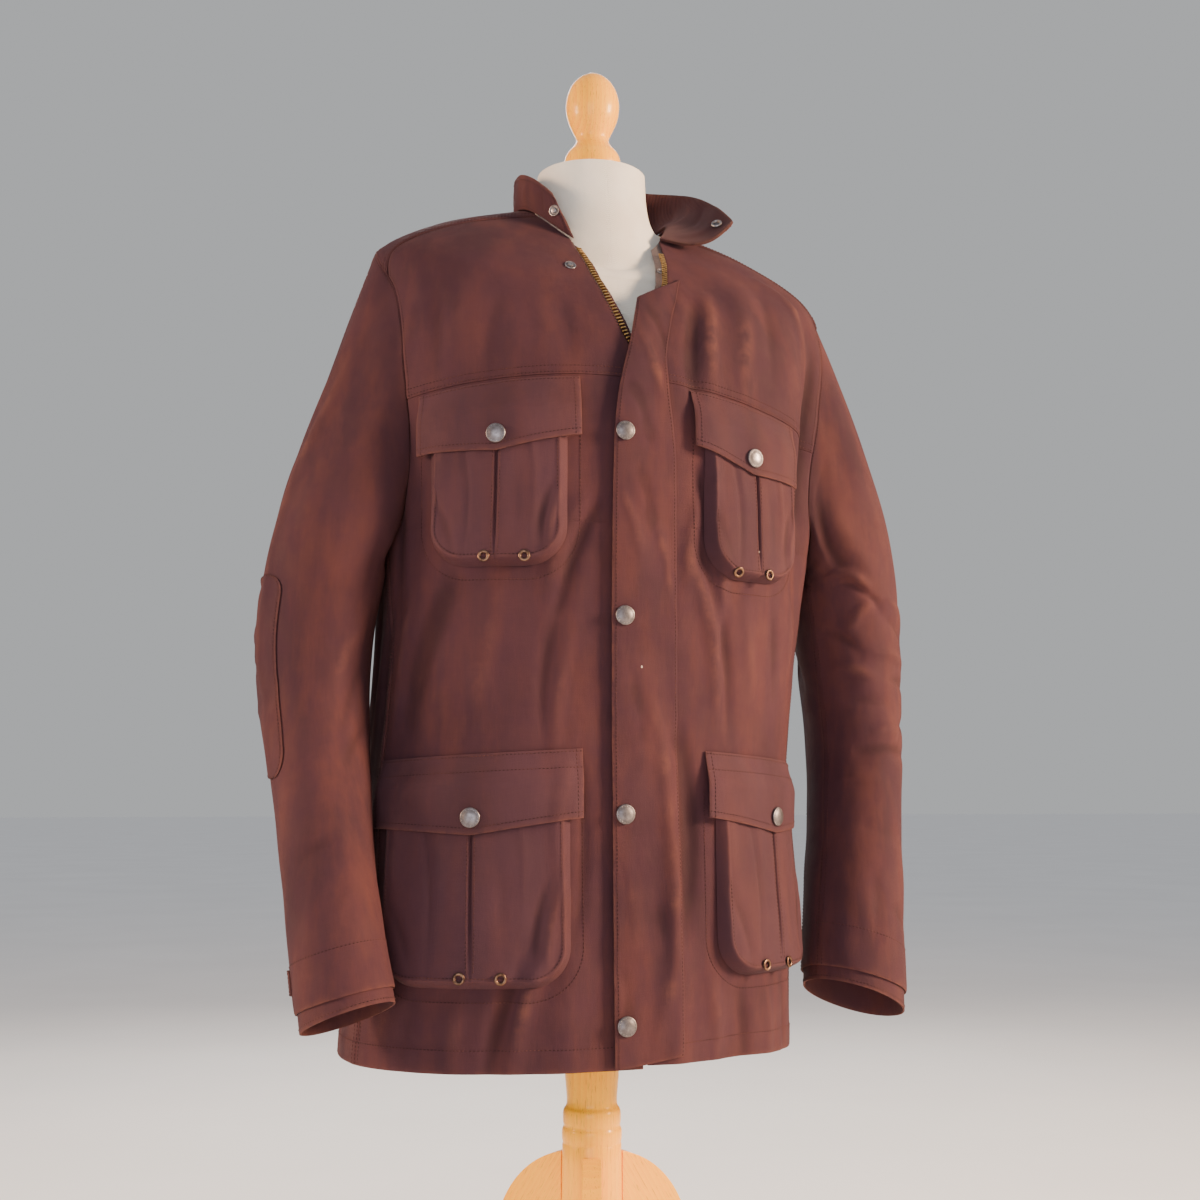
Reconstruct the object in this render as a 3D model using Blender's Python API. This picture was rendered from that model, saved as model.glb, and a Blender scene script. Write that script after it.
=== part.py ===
"""A waxed cotton field jacket, worn by a limbless dress form on a turned wooden stand.

Metres, +Z up, wearer facing -Y, so the wearer's left is +X. The stand's column is the
Z axis while the pieces are shaped; the whole object is then centred on its footprint.
The jacket's body is one surface, body(angle, level): angle 0 is the centre front, 90 the
wearer's left side and 180 the centre back; level counts the rows of BODY from the hem to
the neck. Panels, pockets, flaps and fly are cut from that surface and moved out of it.
"""

import math

import bpy
import numpy as np

UP = np.array([0.0, 0.0, 1.0])

# Cloth and clearances
WALL = 0.0016
GAP = 0.0003
LAY = 0.0011
CLOSE = 0.00045
SEAM_ANGLE = 0.045
SEAM_LEVEL = 0.0025
POCKET_WALL = 0.0014

# Levels of the body's seams, counted in rows of BODY
HEM = 0.0
UNDERARM = 4.15
CHEST_SEAM = 6.0
BACK_YOKE = 7.0
YOKE_MEETS_ARMHOLE = 8.35
SHOULDER_POINT = 9.0
NECK = 11.0

# Zip line and fly, across the front
ZIP_X = 0.004
ZIP_HALF = 0.0022
SNAP_X = -0.0155

# Stand
COLUMN_RADIUS = 0.028
NECK_TOP = 1.305
LEG_THICKNESS = 0.018
LEG_AZIMUTH = -107.5
ROUND_SEGMENTS = 18

# One row for each level of the jacket's body: heights at the front, side and back, how much
# lower the wearer's left side lies than the middle, the section's centre, its half width,
# its depth before and behind the centre, and how square it is (2 is an ellipse).
BODY = [
    # name          zFront  zSide   zBack   tilt    midX    midY   half    front   back    square
    ("hem",         0.4545, 0.4545, 0.4540, 0.0000, -0.0240, 0.004, 0.2110, 0.1440, 0.1360, 2.35),
    ("skirt",       0.5610, 0.5570, 0.5610, 0.0000, -0.0205, 0.004, 0.2085, 0.1420, 0.1300, 2.35),
    ("hip",         0.6800, 0.6780, 0.6800, 0.0000, -0.0175, 0.002, 0.2040, 0.1390, 0.1240, 2.25),
    ("waist",       0.8000, 0.8000, 0.8000, 0.0000, -0.0070, 0.000, 0.2040, 0.1370, 0.1200, 2.20),
    ("ribs",        0.9150, 0.9100, 0.9150, 0.0030,  0.0030, 0.000, 0.2100, 0.1390, 0.1220, 2.20),
    ("bust",        0.9950, 0.9740, 1.0050, 0.0080,  0.0060, 0.000, 0.2180, 0.1400, 0.1260, 2.20),
    ("chest_seam",  1.0640, 1.0270, 1.0750, 0.0130,  0.0080, 0.000, 0.2260, 0.1360, 0.1270, 2.20),
    ("upper_chest", 1.1080, 1.0910, 1.1320, 0.0110,  0.0110, 0.002, 0.2300, 0.1280, 0.1220, 2.20),
    ("collar_bone", 1.1430, 1.1490, 1.1800, 0.0080,  0.0115, 0.004, 0.2285, 0.1160, 0.1100, 2.20),
    ("shoulder",    1.1700, 1.1955, 1.2220, 0.0072,  0.0035, 0.006, 0.2200, 0.1010, 0.0930, 2.15),
    ("mid_shoulder", 1.1900, 1.2345, 1.2535, 0.0045, 0.0000, 0.010, 0.1560, 0.0900, 0.0740, 2.10),
    ("neck",        1.1990, 1.2610, 1.2765, 0.0020,  0.0010, 0.014, 0.0750, 0.0820, 0.0560, 2.00),
]

# The largest folds of the body: where, how wide (degrees) and how far out (+) or in (-)
FOLDS = [
    # name               angle  lean   low   high  width  height
    ("skirt_front_left",   14.5,  -3.0, -0.5,  2.4,   3.6,  0.0060),
    ("skirt_trough_left",  32.0,  -2.0, -0.7,  0.7,   7.0, -0.0060),
    ("skirt_front_right", -12.0,   2.0, -0.5,  1.6,   5.0,  0.0040),
    ("side_left",          88.0,   3.0,  0.5,  4.4,   7.0, -0.0060),
    ("side_right",        -84.0,  -2.0,  0.2,  4.2,   9.0, -0.0050),
    ("armpit_left",        56.0,  -3.0,  3.4,  8.6,   6.5, -0.0160),
    ("chest_left",         30.0,   6.0,  6.3, 10.2,   6.0,  0.0030),
    ("back_left",         152.0,   4.0, -0.5,  4.2,   9.0,  0.0070),
    ("back_middle",       181.0,  -3.0, -0.5,  3.4,   8.0, -0.0060),
    ("back_right",        214.0,  -5.0, -0.5,  4.6,   9.0,  0.0080),
    ("back_blade_left",   132.0,   8.0,  4.4,  7.4,   8.0, -0.0040),
    ("back_blade_right",  230.0,  -8.0,  4.4,  7.4,   8.0, -0.0040),
]

# Armhole, in degrees either side of the arm's middle
ARMHOLE = {"front": 25.0, "back": 30.0, "bottom_shift": 9.0, "round": 2.3}

# One row for each section of a sleeve below its cap. side is how far out from the
# column, y how far back, half and deep the section's half sizes, outer and back how much
# lower (-) its outer and back edges lie than its middle.
SLEEVE_RIGHT = [
    # name        z      side    y       half    deep    outer   back
    ("bicep",     0.885, 0.2620, -0.010, 0.0530, 0.0640,  0.000, 0.000),
    ("elbow",     0.815, 0.2690, -0.008, 0.0500, 0.0600,  0.000, 0.000),
    ("forearm",   0.740, 0.2680, -0.030, 0.0450, 0.0550,  0.003, 0.000),
    ("low_arm",   0.660, 0.2640, -0.062, 0.0400, 0.0510,  0.002, 0.000),
    ("wrist",     0.586, 0.2585, -0.088, 0.0385, 0.0490, -0.004, -0.004),
    ("cuff",      0.517, 0.2505, -0.108, 0.0395, 0.0470, -0.009, -0.012),
]
SLEEVE_LEFT = [
    # name        z      side    y       half    deep    outer   back
    ("bicep",     0.885, 0.2670, -0.004, 0.0505, 0.0630,  0.000, 0.000),
    ("elbow",     0.815, 0.2770,  0.004, 0.0480, 0.0600,  0.000, 0.000),
    ("forearm",   0.740, 0.2760, -0.006, 0.0435, 0.0560,  0.003, 0.000),
    ("low_arm",   0.660, 0.2660, -0.022, 0.0430, 0.0530,  0.002, 0.000),
    ("wrist",     0.586, 0.2575, -0.034, 0.0455, 0.0510, -0.005, -0.004),
    ("cuff",      0.510, 0.2520, -0.043, 0.0480, 0.0500, -0.016, -0.010),
]
# How a sleeve's cap swells outward where it leaves the armhole, and for how long it keeps
# its direction there and above the bicep
SLEEVE_CAPS = {
    -1: {"swell": 0.28, "leave": 0.056, "arrive": 0.052},
    1: {"swell": 0.38, "leave": 0.088, "arrive": 0.085},
}
CAP_RINGS = 5
ARM_RINGS = 9
CUFF_DROP_ROWS = 0.28
CUFF_RISE_ROWS = 0.625
PATCH_WALL = 0.0014
STRAP_WALL = 0.0018
PATCH_RIGHT = {"low": 2.6, "high": 0.0, "turn": 109.0, "half": 56.0}
PATCH_LEFT = {"low": 2.6, "high": 0.0, "turn": 166.0, "half": 56.0}
STRAP_RIGHT = {"low": 4.72, "high": 4.46, "turn": 128.0, "half": 44.0}
STRAP_LEFT = {"low": 4.72, "high": 4.46, "turn": 150.0, "half": 44.0}
SEAMS_RIGHT = (-110.0, 175.0)
SEAMS_LEFT = (-70.0, 232.0)

# Pockets. Distances run round the body from the zip line, heights are the floor's.
# flapTop None hangs the flap from the chest seam; droop is how steeply the pocket falls
# away from the zip; lowest is the pouch's lower edge.
POCKETS = [
    # name          side  flapAt  flapWide flapTop flapDrop droop  pouchAt pouchWide lowest  thinTop thinLow
    ("chest_right", -1,   0.0580, 0.1480,  None,   0.0550,  0.000, 0.0700, 0.1240,   0.8890, 0.0040, 0.0120),
    ("chest_left",   1,   0.0480, 0.1200,  None,   0.0530,  0.045, 0.0600, 0.1080,   0.8870, 0.0040, 0.0120),
    ("hip_right",   -1,   0.0560, 0.1900,  0.7290, 0.0600,  0.055, 0.0670, 0.1680,   0.5300, 0.0045, 0.0130),
    ("hip_left",     1,   0.0610, 0.1620,  0.7280, 0.0590,  0.060, 0.0720, 0.1400,   0.5330, 0.0045, 0.0130),
]
FLAP_POINT = 0.0100
FLAP_BELOW_SEAM = 0.0030
MOUTH_BELOW_FLAP_TOP = 0.0300
POUCH_CORNER = 0.0360
POUCH_EDGE = 0.0090
PLEAT_DEPTH = 0.0022
EYELET_RADIUS = 0.0040
EYELET_WIRE = 0.0011
EYELET_SPACING = 0.0140
EYELET_SHIFT = 0.0070
EYELET_HEIGHT = 0.055
EYELET_INSET = 0.0220
CAP_ABOVE_POINT = 0.0150

# Snap caps
CAP_RADIUS = 0.0088
CAP_HEIGHT = 0.0036
PLACKET_SNAP_Z = [1.0120, 0.8465, 0.6720, 0.4918]
STUD_RADIUS = 0.0055
STUD_HEIGHT = 0.0022
NECK_STUD = {"x": -0.0500, "z": 1.1790}
NECK_SOCKET = {"past_edge": 0.0062, "level": 9.75}

# Storm fly, from the hem up: height and place across of its free edge and of its sewn
# edge, and how far each stands off the front
FLY = [
    # zEdge   edgeX    edgeOff  zSeam   seamX    seamOff
    (0.4540, -0.0255,  0.0046,  0.4640, 0.0380,  0.0010),
    (0.6000, -0.0260,  0.0042,  0.6000, 0.0370,  0.0010),
    (0.7600, -0.0265,  0.0042,  0.7600, 0.0360,  0.0010),
    (0.9000, -0.0265,  0.0042,  0.9000, 0.0350,  0.0010),
    (0.9850, -0.0255,  0.0046,  0.9950, 0.0340,  0.0010),
    (1.0300, -0.0230,  0.0052,  1.0450, 0.0300,  0.0010),
    (1.0650, -0.0165,  0.0056,  1.0850, 0.0290,  0.0010),
    (1.0950, -0.0075,  0.0052,  1.1200, 0.0370,  0.0010),
    (1.1220,  0.0000,  0.0044,  1.1500, 0.0480,  0.0010),
    (1.1450,  0.0070,  0.0030,  1.1760, 0.0590,  0.0010),
]
# Strips behind the fronts' edges: how far inside the edge they start, how far past it they
# end, how much further at the open neck, the outer face's lift and the wall
TAPE_RIGHT = (-0.0110, 0.0015, 0.0015, -0.0008, 0.0010)
TAPE_LEFT = (-0.0110, 0.0015, 0.0100, -0.0008, 0.0010)
GUARD = (-0.0120, 0.0110, 0.0000, -0.0024, 0.0014)
STRIP_LOW = 0.11
LEFT_HEM_RISE = 0.10
SLIDER = {"z": 1.0720, "half": 0.0042, "long": 0.0110, "thick": 0.0024}
SOCKET_RADIUS = 0.0040
SOCKET_HEIGHT = 0.0012
FLY_ROWS = 20
FLY_WALL = 0.0022
FLY_COLUMNS = 6

# The open neck: how far across each front's edge lies, by level
OPEN_EDGE = [
    # level  right    left
    (6.30,   0.0010, 0.0070),
    (7.00,  -0.0116, 0.0195),
    (8.00,  -0.0235, 0.0340),
    (9.00,  -0.0320, 0.0450),
    (10.00, -0.0365, 0.0510),
    (11.00, -0.0400, 0.0550),
]

# Collar: round the neck by angle, how far its top edge lies from its foot (out to the
# wearer's left, back and up), and how much it bows outward and hangs down halfway up
COLLAR = [
    # angle   left     back     up      bow    sag
    (-31.0,  -0.0190,  0.0050,  0.0440, 0.002, 0.000),
    (-52.0,  -0.0090,  0.0040,  0.0400, 0.002, 0.000),
    (-90.0,   0.0000,  0.0020,  0.0350, 0.001, 0.000),
    (-140.0,  0.0010,  0.0050,  0.0430, 0.000, 0.000),
    (-180.0,  0.0000,  0.0060,  0.0490, 0.000, 0.000),
    (-225.0,  0.0050,  0.0040,  0.0490, 0.001, 0.000),
    (-262.0,  0.0150, -0.0020,  0.0430, 0.004, 0.000),
    (-290.0,  0.0440, -0.0120,  0.0260, 0.006, 0.004),
    (-315.0,  0.0740, -0.0200,  0.0150, 0.006, 0.012),
]
COLLAR_WALL = 0.0015
COLLAR_LIFT = 0.0011
COLLAR_COLUMNS = 19
COLLAR_ROWS = 5
FACING_WALL = 0.0018
FACING_GAP = 0.00045
COLLAR_STUD_AT = (2, -2)
COLLAR_SOCKET_AT = (3, 1)

# Dress form below the shoulders: height, half width, depths and middle
FORM = [
    # z       half    front   back    midY
    (0.6150, 0.1500, 0.1020, 0.0930, 0.004),
    (0.6900, 0.1620, 0.1120, 0.1000, 0.004),
    (0.8200, 0.1480, 0.1030, 0.0900, 0.002),
    (0.9500, 0.1630, 0.1130, 0.1000, 0.000),
    (1.0500, 0.1720, 0.1150, 0.1060, 0.000),
    (1.1150, 0.1680, 0.1040, 0.1040, 0.002),
]
FORM_SHOULDERS = [
    # level  tuck
    (9.40,   0.930),
    (9.75,   0.990),
    (10.15,  1.000),
    (10.55,  0.990),
    (10.85,  0.930),
]
FORM_CLEARANCE = 0.0013
FORM_FRONT_TUCK = 0.0075
NECK_RADIUS = 0.0540

# Turned profiles: height above the foot of the piece and radius
FINIAL = [
    # z      radius
    (0.0000, 0.0255), (0.0060, 0.0282), (0.0150, 0.0288), (0.0235, 0.0262),
    (0.0305, 0.0200), (0.0360, 0.0163), (0.0410, 0.0162), (0.0485, 0.0200),
    (0.0600, 0.0252), (0.0720, 0.0272), (0.0840, 0.0262), (0.0960, 0.0215),
    (0.1040, 0.0140), (0.1085, 0.0060),
]
COLUMN = [
    # z      radius
    (0.1600, 0.0280), (0.3650, 0.0280), (0.3670, 0.0270), (0.3710, 0.0281),
    (0.3790, 0.0281), (0.3825, 0.0262), (0.3860, 0.0272), (0.3970, 0.0272),
    (0.4010, 0.0232), (0.4160, 0.0242), (0.4340, 0.0260), (0.6146, 0.0260),
]

# Leg board: the outline's points, outward from the column and up
LEG_TOP_ARC = {"middle_r": 0.008, "middle_z": 0.266, "radius": 0.0935, "from": 77.0, "to": 8.0}
LEG_SWEEP = [
    # r      z
    (0.1060, 0.2300), (0.1200, 0.1750), (0.1450, 0.1150), (0.1800, 0.0640),
    (0.2150, 0.0360), (0.2500, 0.0220), (0.2640, 0.0100), (0.2650, 0.0000),
    (0.2250, 0.0000), (0.1900, 0.0180), (0.1450, 0.0480), (0.1050, 0.0950),
    (0.0750, 0.1450), (0.0283, 0.1700),
]

COLOURS = {
    # name           red    green  blue   rough  metal
    "waxed_cotton": (0.150, 0.062, 0.058, 0.55, 0.0),
    "corduroy":     (0.072, 0.030, 0.034, 0.85, 0.0),
    "jersey":       (0.700, 0.640, 0.530, 0.90, 0.0),
    "beech":        (0.800, 0.480, 0.180, 0.38, 0.0),
    "dark_nickel":  (0.110, 0.095, 0.090, 0.36, 1.0),
    "brass":        (0.620, 0.400, 0.160, 0.32, 1.0),
    "tape":         (0.050, 0.024, 0.022, 0.90, 0.0),
}


def clear_scene():
    for item in list(bpy.data.objects):
        bpy.data.objects.remove(item, do_unlink=True)


def finish_of(name):
    """The material called name, made from COLOURS the first time it is asked for."""
    found = bpy.data.materials.get(name)
    if found:
        return found
    red, green, blue, rough, metal = COLOURS[name]
    made = bpy.data.materials.new(name)
    made.use_nodes = True
    surface = made.node_tree.nodes["Principled BSDF"]
    surface.inputs["Base Color"].default_value = (red, green, blue, 1.0)
    surface.inputs["Roughness"].default_value = rough
    surface.inputs["Metallic"].default_value = metal
    return made


def add_object(name, points, faces, finish):
    """One closed solid from its points and faces, shaded smooth except at its rims."""
    mesh = bpy.data.meshes.new(name)
    mesh.from_pydata([tuple(p) for p in points], [], faces)
    mesh.validate()
    mesh.materials.append(finish_of(finish))
    mesh.shade_smooth()
    mesh.set_sharp_from_angle(angle=math.radians(40.0))
    item = bpy.data.objects.new(name, mesh)
    bpy.context.scene.collection.objects.link(item)
    return item


def column_of(rows, index):
    return np.array([row[index] for row in rows], float)


def spline(values, at):
    """Catmull-Rom curve through evenly spaced values (first axis), read at row number at."""
    values = np.asarray(values, float)
    last = len(values) - 1
    at = np.clip(np.asarray(at, float), 0.0, last)
    low = np.clip(np.floor(at).astype(int), 0, last - 1)
    f = at - low
    before = values[np.clip(low - 1, 0, last)]
    start = values[low]
    end = values[low + 1]
    after = values[np.clip(low + 2, 0, last)]
    f = f.reshape(f.shape + (1,) * (start.ndim - f.ndim))
    return 0.5 * (
        2.0 * start
        + (end - before) * f
        + (2.0 * before - 5.0 * start + 4.0 * end - after) * f**2
        + (3.0 * start - before - 3.0 * end + after) * f**3
    )


def row_at(keys, value):
    """The fractional row number at which the rising column keys reaches value."""
    return np.interp(value, keys, np.arange(len(keys)))


def unit(vectors):
    return vectors / np.maximum(np.linalg.norm(vectors, axis=-1, keepdims=True), 1e-12)


def smooth(value):
    value = np.clip(value, 0.0, 1.0)
    return value * value * (3.0 - 2.0 * value)


BODY_NUMBERS = np.array([row[1:] for row in BODY], float)


def fold_height(angle, level):
    """How far the folds push the body out at a place, in metres."""
    height = np.zeros(np.broadcast(angle, level).shape)
    for _, middle, lean, low, high, width, rise in FOLDS:
        along = (level - low) / (high - low)
        ends = np.sin(np.pi * np.clip(along, 0.0, 1.0)) ** 0.8
        away = (angle - middle - lean * (along - 0.5) + 180.0) % 360.0 - 180.0
        height = height + rise * ends * np.exp(-((away / width) ** 2))
    return height


def body_base(angle, level):
    angle, level = np.broadcast_arrays(np.asarray(angle, float), np.asarray(level, float))
    row = spline(BODY_NUMBERS, level)
    z_front, z_side, z_back, tilt, mid_x, mid_y, half, front, back, square = np.moveaxis(row, -1, 0)
    across = np.sin(np.radians(angle))
    ahead = np.cos(np.radians(angle))
    reach = (np.abs(across) ** square + np.abs(ahead) ** square) ** (-1.0 / square)
    deep = np.where(ahead > 0.0, front, back)
    z_end = np.where(ahead > 0.0, z_front, z_back)
    return np.stack(
        [
            mid_x + half * across * reach,
            mid_y - deep * ahead * reach,
            z_side + (z_end - z_side) * ahead**2 - tilt * across,
        ],
        axis=-1,
    )


def body_normal(angle, level):
    step_angle = 0.6
    step_level = 0.03
    angle, level = np.broadcast_arrays(np.asarray(angle, float), np.asarray(level, float))
    along = body_base(angle + step_angle, level) - body_base(angle - step_angle, level)
    up = body_base(angle, np.minimum(level + step_level, NECK)) - body_base(
        angle, np.maximum(level - step_level, HEM)
    )
    return unit(np.cross(along, up))


def body(angle, level, lift=0.0):
    """A point of the jacket's body, lift metres outside its inner face."""
    rise = fold_height(angle, level) + lift
    return body_base(angle, level) + body_normal(angle, level) * np.asarray(rise)[..., None]


def angle_at(x, level):
    """The angle at which the front lies x metres across at a level."""
    row = spline(BODY_NUMBERS, level)
    mid_x, half, square = row[..., 4], row[..., 6], row[..., 9]
    part = np.clip((x - mid_x) / half, -0.998, 0.998)
    ahead = (1.0 - np.abs(part) ** square) ** (1.0 / square)
    return np.degrees(np.arctan2(part, ahead))


def level_at(z, angle):
    """The level at which the front reaches height z at an angle."""
    levels = np.linspace(HEM, NECK, 221)
    heights = body_base(angle, levels)[:, 2]
    return float(np.interp(z, heights, levels))


def place_on_front(x, z):
    """Angle and level of the point x across and z up on the front."""
    level = level_at(z, 0.0)
    for _ in range(3):
        angle = float(angle_at(x, np.array(level)))
        level = level_at(z, angle)
    return angle, level


def wall_faces(outer, closed):
    """Triangles of a wall whose outer points come first and inner points second, both as
    rows of columns; closed joins the last column to the first. Both faces are split along
    the same diagonal, the shorter one, so that they stay parallel."""
    rows, columns = outer.shape[:2]
    points = outer.reshape(-1, 3)
    inner = rows * columns
    faces = []
    spans = columns if closed else columns - 1
    for i in range(rows - 1):
        for j in range(spans):
            k = (j + 1) % columns
            a, b = i * columns + j, i * columns + k
            c, d = (i + 1) * columns + k, (i + 1) * columns + j
            if np.linalg.norm(points[a] - points[c]) <= np.linalg.norm(points[b] - points[d]):
                halves = ((a, b, c), (a, c, d))
            else:
                halves = ((a, b, d), (b, c, d))
            for one, two, three in halves:
                faces.append((one, two, three))
                faces.append((inner + three, inner + two, inner + one))
    for j in range(spans):
        k = (j + 1) % columns
        faces.append((j, inner + j, inner + k, k))
        top = (rows - 1) * columns
        faces.append((top + k, inner + top + k, inner + top + j, top + j))
    if not closed:
        for i in range(rows - 1):
            a, d = i * columns, (i + 1) * columns
            faces.append((a, d, inner + d, inner + a))
            b, c = a + columns - 1, d + columns - 1
            faces.append((b, inner + b, inner + c, c))
    return faces


def add_wall(name, outer, inner, finish, closed=False):
    """A cloth wall between two grids of points, outer faces running right then up."""
    points = np.concatenate([outer.reshape(-1, 3), inner.reshape(-1, 3)])
    return add_object(name, points, wall_faces(outer, closed), finish)


def grid_normals(grid, closed):
    """Outward directions of a grid of points whose columns run right and rows run up."""
    if closed:
        right = np.roll(grid, -1, axis=1) - np.roll(grid, 1, axis=1)
    else:
        right = np.gradient(grid, axis=1)
    up = np.gradient(grid, axis=0)
    return unit(np.cross(right, up))


def ruled(edge_a, edge_b, count):
    """Places (angle, level) between two edges with the same number of places."""
    share = np.linspace(0.0, 1.0, count)[None, :, None]
    edge_a = np.asarray(edge_a, float)[:, None, :]
    edge_b = np.asarray(edge_b, float)[:, None, :]
    return edge_a * (1.0 - share) + edge_b * share


def add_body_panel(name, places, finish="waxed_cotton"):
    """A panel of the body from a grid of places, its angles rising along each row."""
    angle, level = places[..., 0], places[..., 1]
    add_wall(name, body(angle, level, WALL), body(angle, level, 0.0), finish)


def mirrored(edge):
    """The same places on the wearer's other side."""
    return [(-angle, level) for angle, level in edge]


# --- Body panels -----------------------------------------------------------------------


def side_seam(level):
    """Angle of the side seam at a level: forward of the side, meeting the armhole."""
    bottom = 90.0 - ARMHOLE["bottom_shift"]
    return 71.0 + (bottom - 71.0) * smooth((level - 2.9) / (UNDERARM - 2.9))


def armhole_place(share, front):
    """A place on the armhole, share 0 at the underarm and 1 at the shoulder point."""
    level = UNDERARM + (SHOULDER_POINT - UNDERARM) * share
    middle = 90.0 - ARMHOLE["bottom_shift"] * (1.0 - share) ** 2
    power = ARMHOLE["round"]
    spread = (1.0 - abs(2.0 * share - 1.0) ** power) ** (1.0 / power)
    if front:
        return middle - ARMHOLE["front"] * spread, level
    return middle + ARMHOLE["back"] * spread, level


def armhole_share(level):
    return (level - UNDERARM) / (SHOULDER_POINT - UNDERARM)


def armhole_run(low, high, count, front):
    """Places along one side of the armhole, closer together near its ends."""
    start = math.acos(1.0 - 2.0 * armhole_share(low))
    end = math.acos(1.0 - 2.0 * armhole_share(high))
    turns = np.linspace(start, end, count)
    return [armhole_place(0.5 * (1.0 - math.cos(turn)), front) for turn in turns]


SIDE_LEVELS = [0.0, 0.2, 0.65, 1.15, 1.65, 2.15, 2.65, 3.15, 3.6, 3.95, UNDERARM]
ARMHOLE_LOW = armhole_run(UNDERARM, CHEST_SEAM, 7, True)
ARMHOLE_HIGH = armhole_run(CHEST_SEAM, YOKE_MEETS_ARMHOLE, 5, True)
ARMHOLE_OVER = armhole_run(YOKE_MEETS_ARMHOLE, SHOULDER_POINT, 4, True)
ARMHOLE_BACK_HIGH = armhole_run(BACK_YOKE, SHOULDER_POINT, 6, False)
ARMHOLE_BACK_LOW = armhole_run(UNDERARM, BACK_YOKE, 8, False)
YOKE_FRONT_AT_NECK = 60.0
YOKE_LEVELS = 6
FRONT_COLUMNS = 12
BACK_COLUMNS = 15


def opening_angle(level, side):
    """Angle of a front's edge: along the zip, then spreading to the open neck."""
    return float(angle_at(edge_at(level, side), np.array(float(level))))


def yoke_front_seam():
    """Places of the seam before the shoulder, from the armhole to the neck."""
    start = ARMHOLE_HIGH[-1]
    share = np.linspace(0.0, 1.0, YOKE_LEVELS + 1)
    return [
        (start[0] + (YOKE_FRONT_AT_NECK - start[0]) * s, start[1] + (NECK - start[1]) * s)
        for s in share
    ]


def front_panels(side):
    word = {-1: "right", 1: "left"}[side]
    seam = [(side_seam(level) - SEAM_ANGLE, level) for level in SIDE_LEVELS]
    outer_edge = seam + ARMHOLE_LOW[1:-1]
    outer_edge.append((ARMHOLE_LOW[-1][0], CHEST_SEAM - SEAM_LEVEL))
    levels = [level for _, level in outer_edge]
    if side > 0:
        levels[0] = LEFT_HEM_RISE
    zip_edge = [(side * opening_angle(level, side), level) for level in levels]
    upper_edge = [(ARMHOLE_HIGH[0][0], CHEST_SEAM + SEAM_LEVEL)] + ARMHOLE_HIGH[1:-1]
    upper_edge.append((ARMHOLE_HIGH[-1][0], ARMHOLE_HIGH[-1][1] - SEAM_LEVEL))
    upper_edge += [(angle - 3.0 * SEAM_ANGLE, level) for angle, level in yoke_front_seam()[1:]]
    open_edge = [(side * opening_angle(level, side), level) for _, level in upper_edge]
    for part, near, far in (
        ("front_lower_", zip_edge, outer_edge),
        ("front_upper_", open_edge, upper_edge),
    ):
        if side > 0:
            add_body_panel(part + word, ruled(near, far, FRONT_COLUMNS))
        else:
            add_body_panel(part + word, ruled(mirrored(far), mirrored(near), FRONT_COLUMNS))


def back_panel():
    seam = [(side_seam(level) + SEAM_ANGLE, level) for level in SIDE_LEVELS]
    left = seam + ARMHOLE_BACK_LOW[1:-1]
    left.append((ARMHOLE_BACK_LOW[-1][0], BACK_YOKE - SEAM_LEVEL))
    right = [(360.0 - angle, level) for angle, level in left]
    add_body_panel("back", ruled(left, right, BACK_COLUMNS))


def yoke_panel():
    """One piece over both shoulders and across the upper back."""
    front = [(angle + 3.0 * SEAM_ANGLE, level) for angle, level in ARMHOLE_OVER[:1]]
    lower = front + ARMHOLE_OVER[1:] + ARMHOLE_BACK_HIGH[::-1][1:-1]
    corner = ARMHOLE_BACK_HIGH[0][0]
    across = np.linspace(corner, 360.0 - corner, BACK_COLUMNS)
    middle = [(angle, BACK_YOKE + SEAM_LEVEL) for angle in across]
    lower = lower + middle + [(360.0 - angle, level) for angle, level in lower[::-1]]
    start = YOKE_FRONT_AT_NECK + 3.0 * SEAM_ANGLE
    upper = [(angle, NECK) for angle in np.linspace(start, 360.0 - start, len(lower))]
    places = ruled(lower, upper, YOKE_LEVELS + 1)
    add_body_panel("yoke", np.swapaxes(places, 0, 1))


# --- Sleeves ---------------------------------------------------------------------------


def armhole_loop():
    """Places all round the left armhole: up its front, over the shoulder, down its back."""
    front = ARMHOLE_LOW + ARMHOLE_HIGH[1:] + ARMHOLE_OVER[1:]
    back = ARMHOLE_BACK_LOW + ARMHOLE_BACK_HIGH[1:]
    return front + back[::-1][1:-1]


def sleeve_turns():
    """Where each lengthwise line lies round the arm: -90 within, 0 ahead, 90 outside."""
    loop = np.array(armhole_loop())
    rise = loop[:, 1] - loop[:, 1].mean()
    ahead = (90.0 - loop[:, 0]) / 12.0
    around = np.unwrap(np.arctan2(rise, ahead))
    even = np.linspace(around[0], around[0] + 2.0 * np.pi, len(loop), endpoint=False)
    return 0.4 * around + 0.6 * even


def arm_ring(side, table, row, turn, lift):
    """A ring of a sleeve at a row of its table; past the last row it runs straight on."""
    numbers = np.array([line[1:] for line in table], float)
    last = len(table) - 1.0
    z, middle, y, half, deep, outer, back = spline(numbers, np.array(float(row)))
    ring = np.stack(
        [
            side * (middle + (half + lift) * np.sin(turn)),
            y - (deep + lift) * np.cos(turn),
            z + outer * np.sin(turn) - back * np.cos(turn),
        ],
        axis=-1,
    )
    if row > last:
        step = ring - arm_ring(side, table, last - 0.25, turn, lift)
        ring = ring + step * (row - last) / 0.25
    return ring


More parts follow.
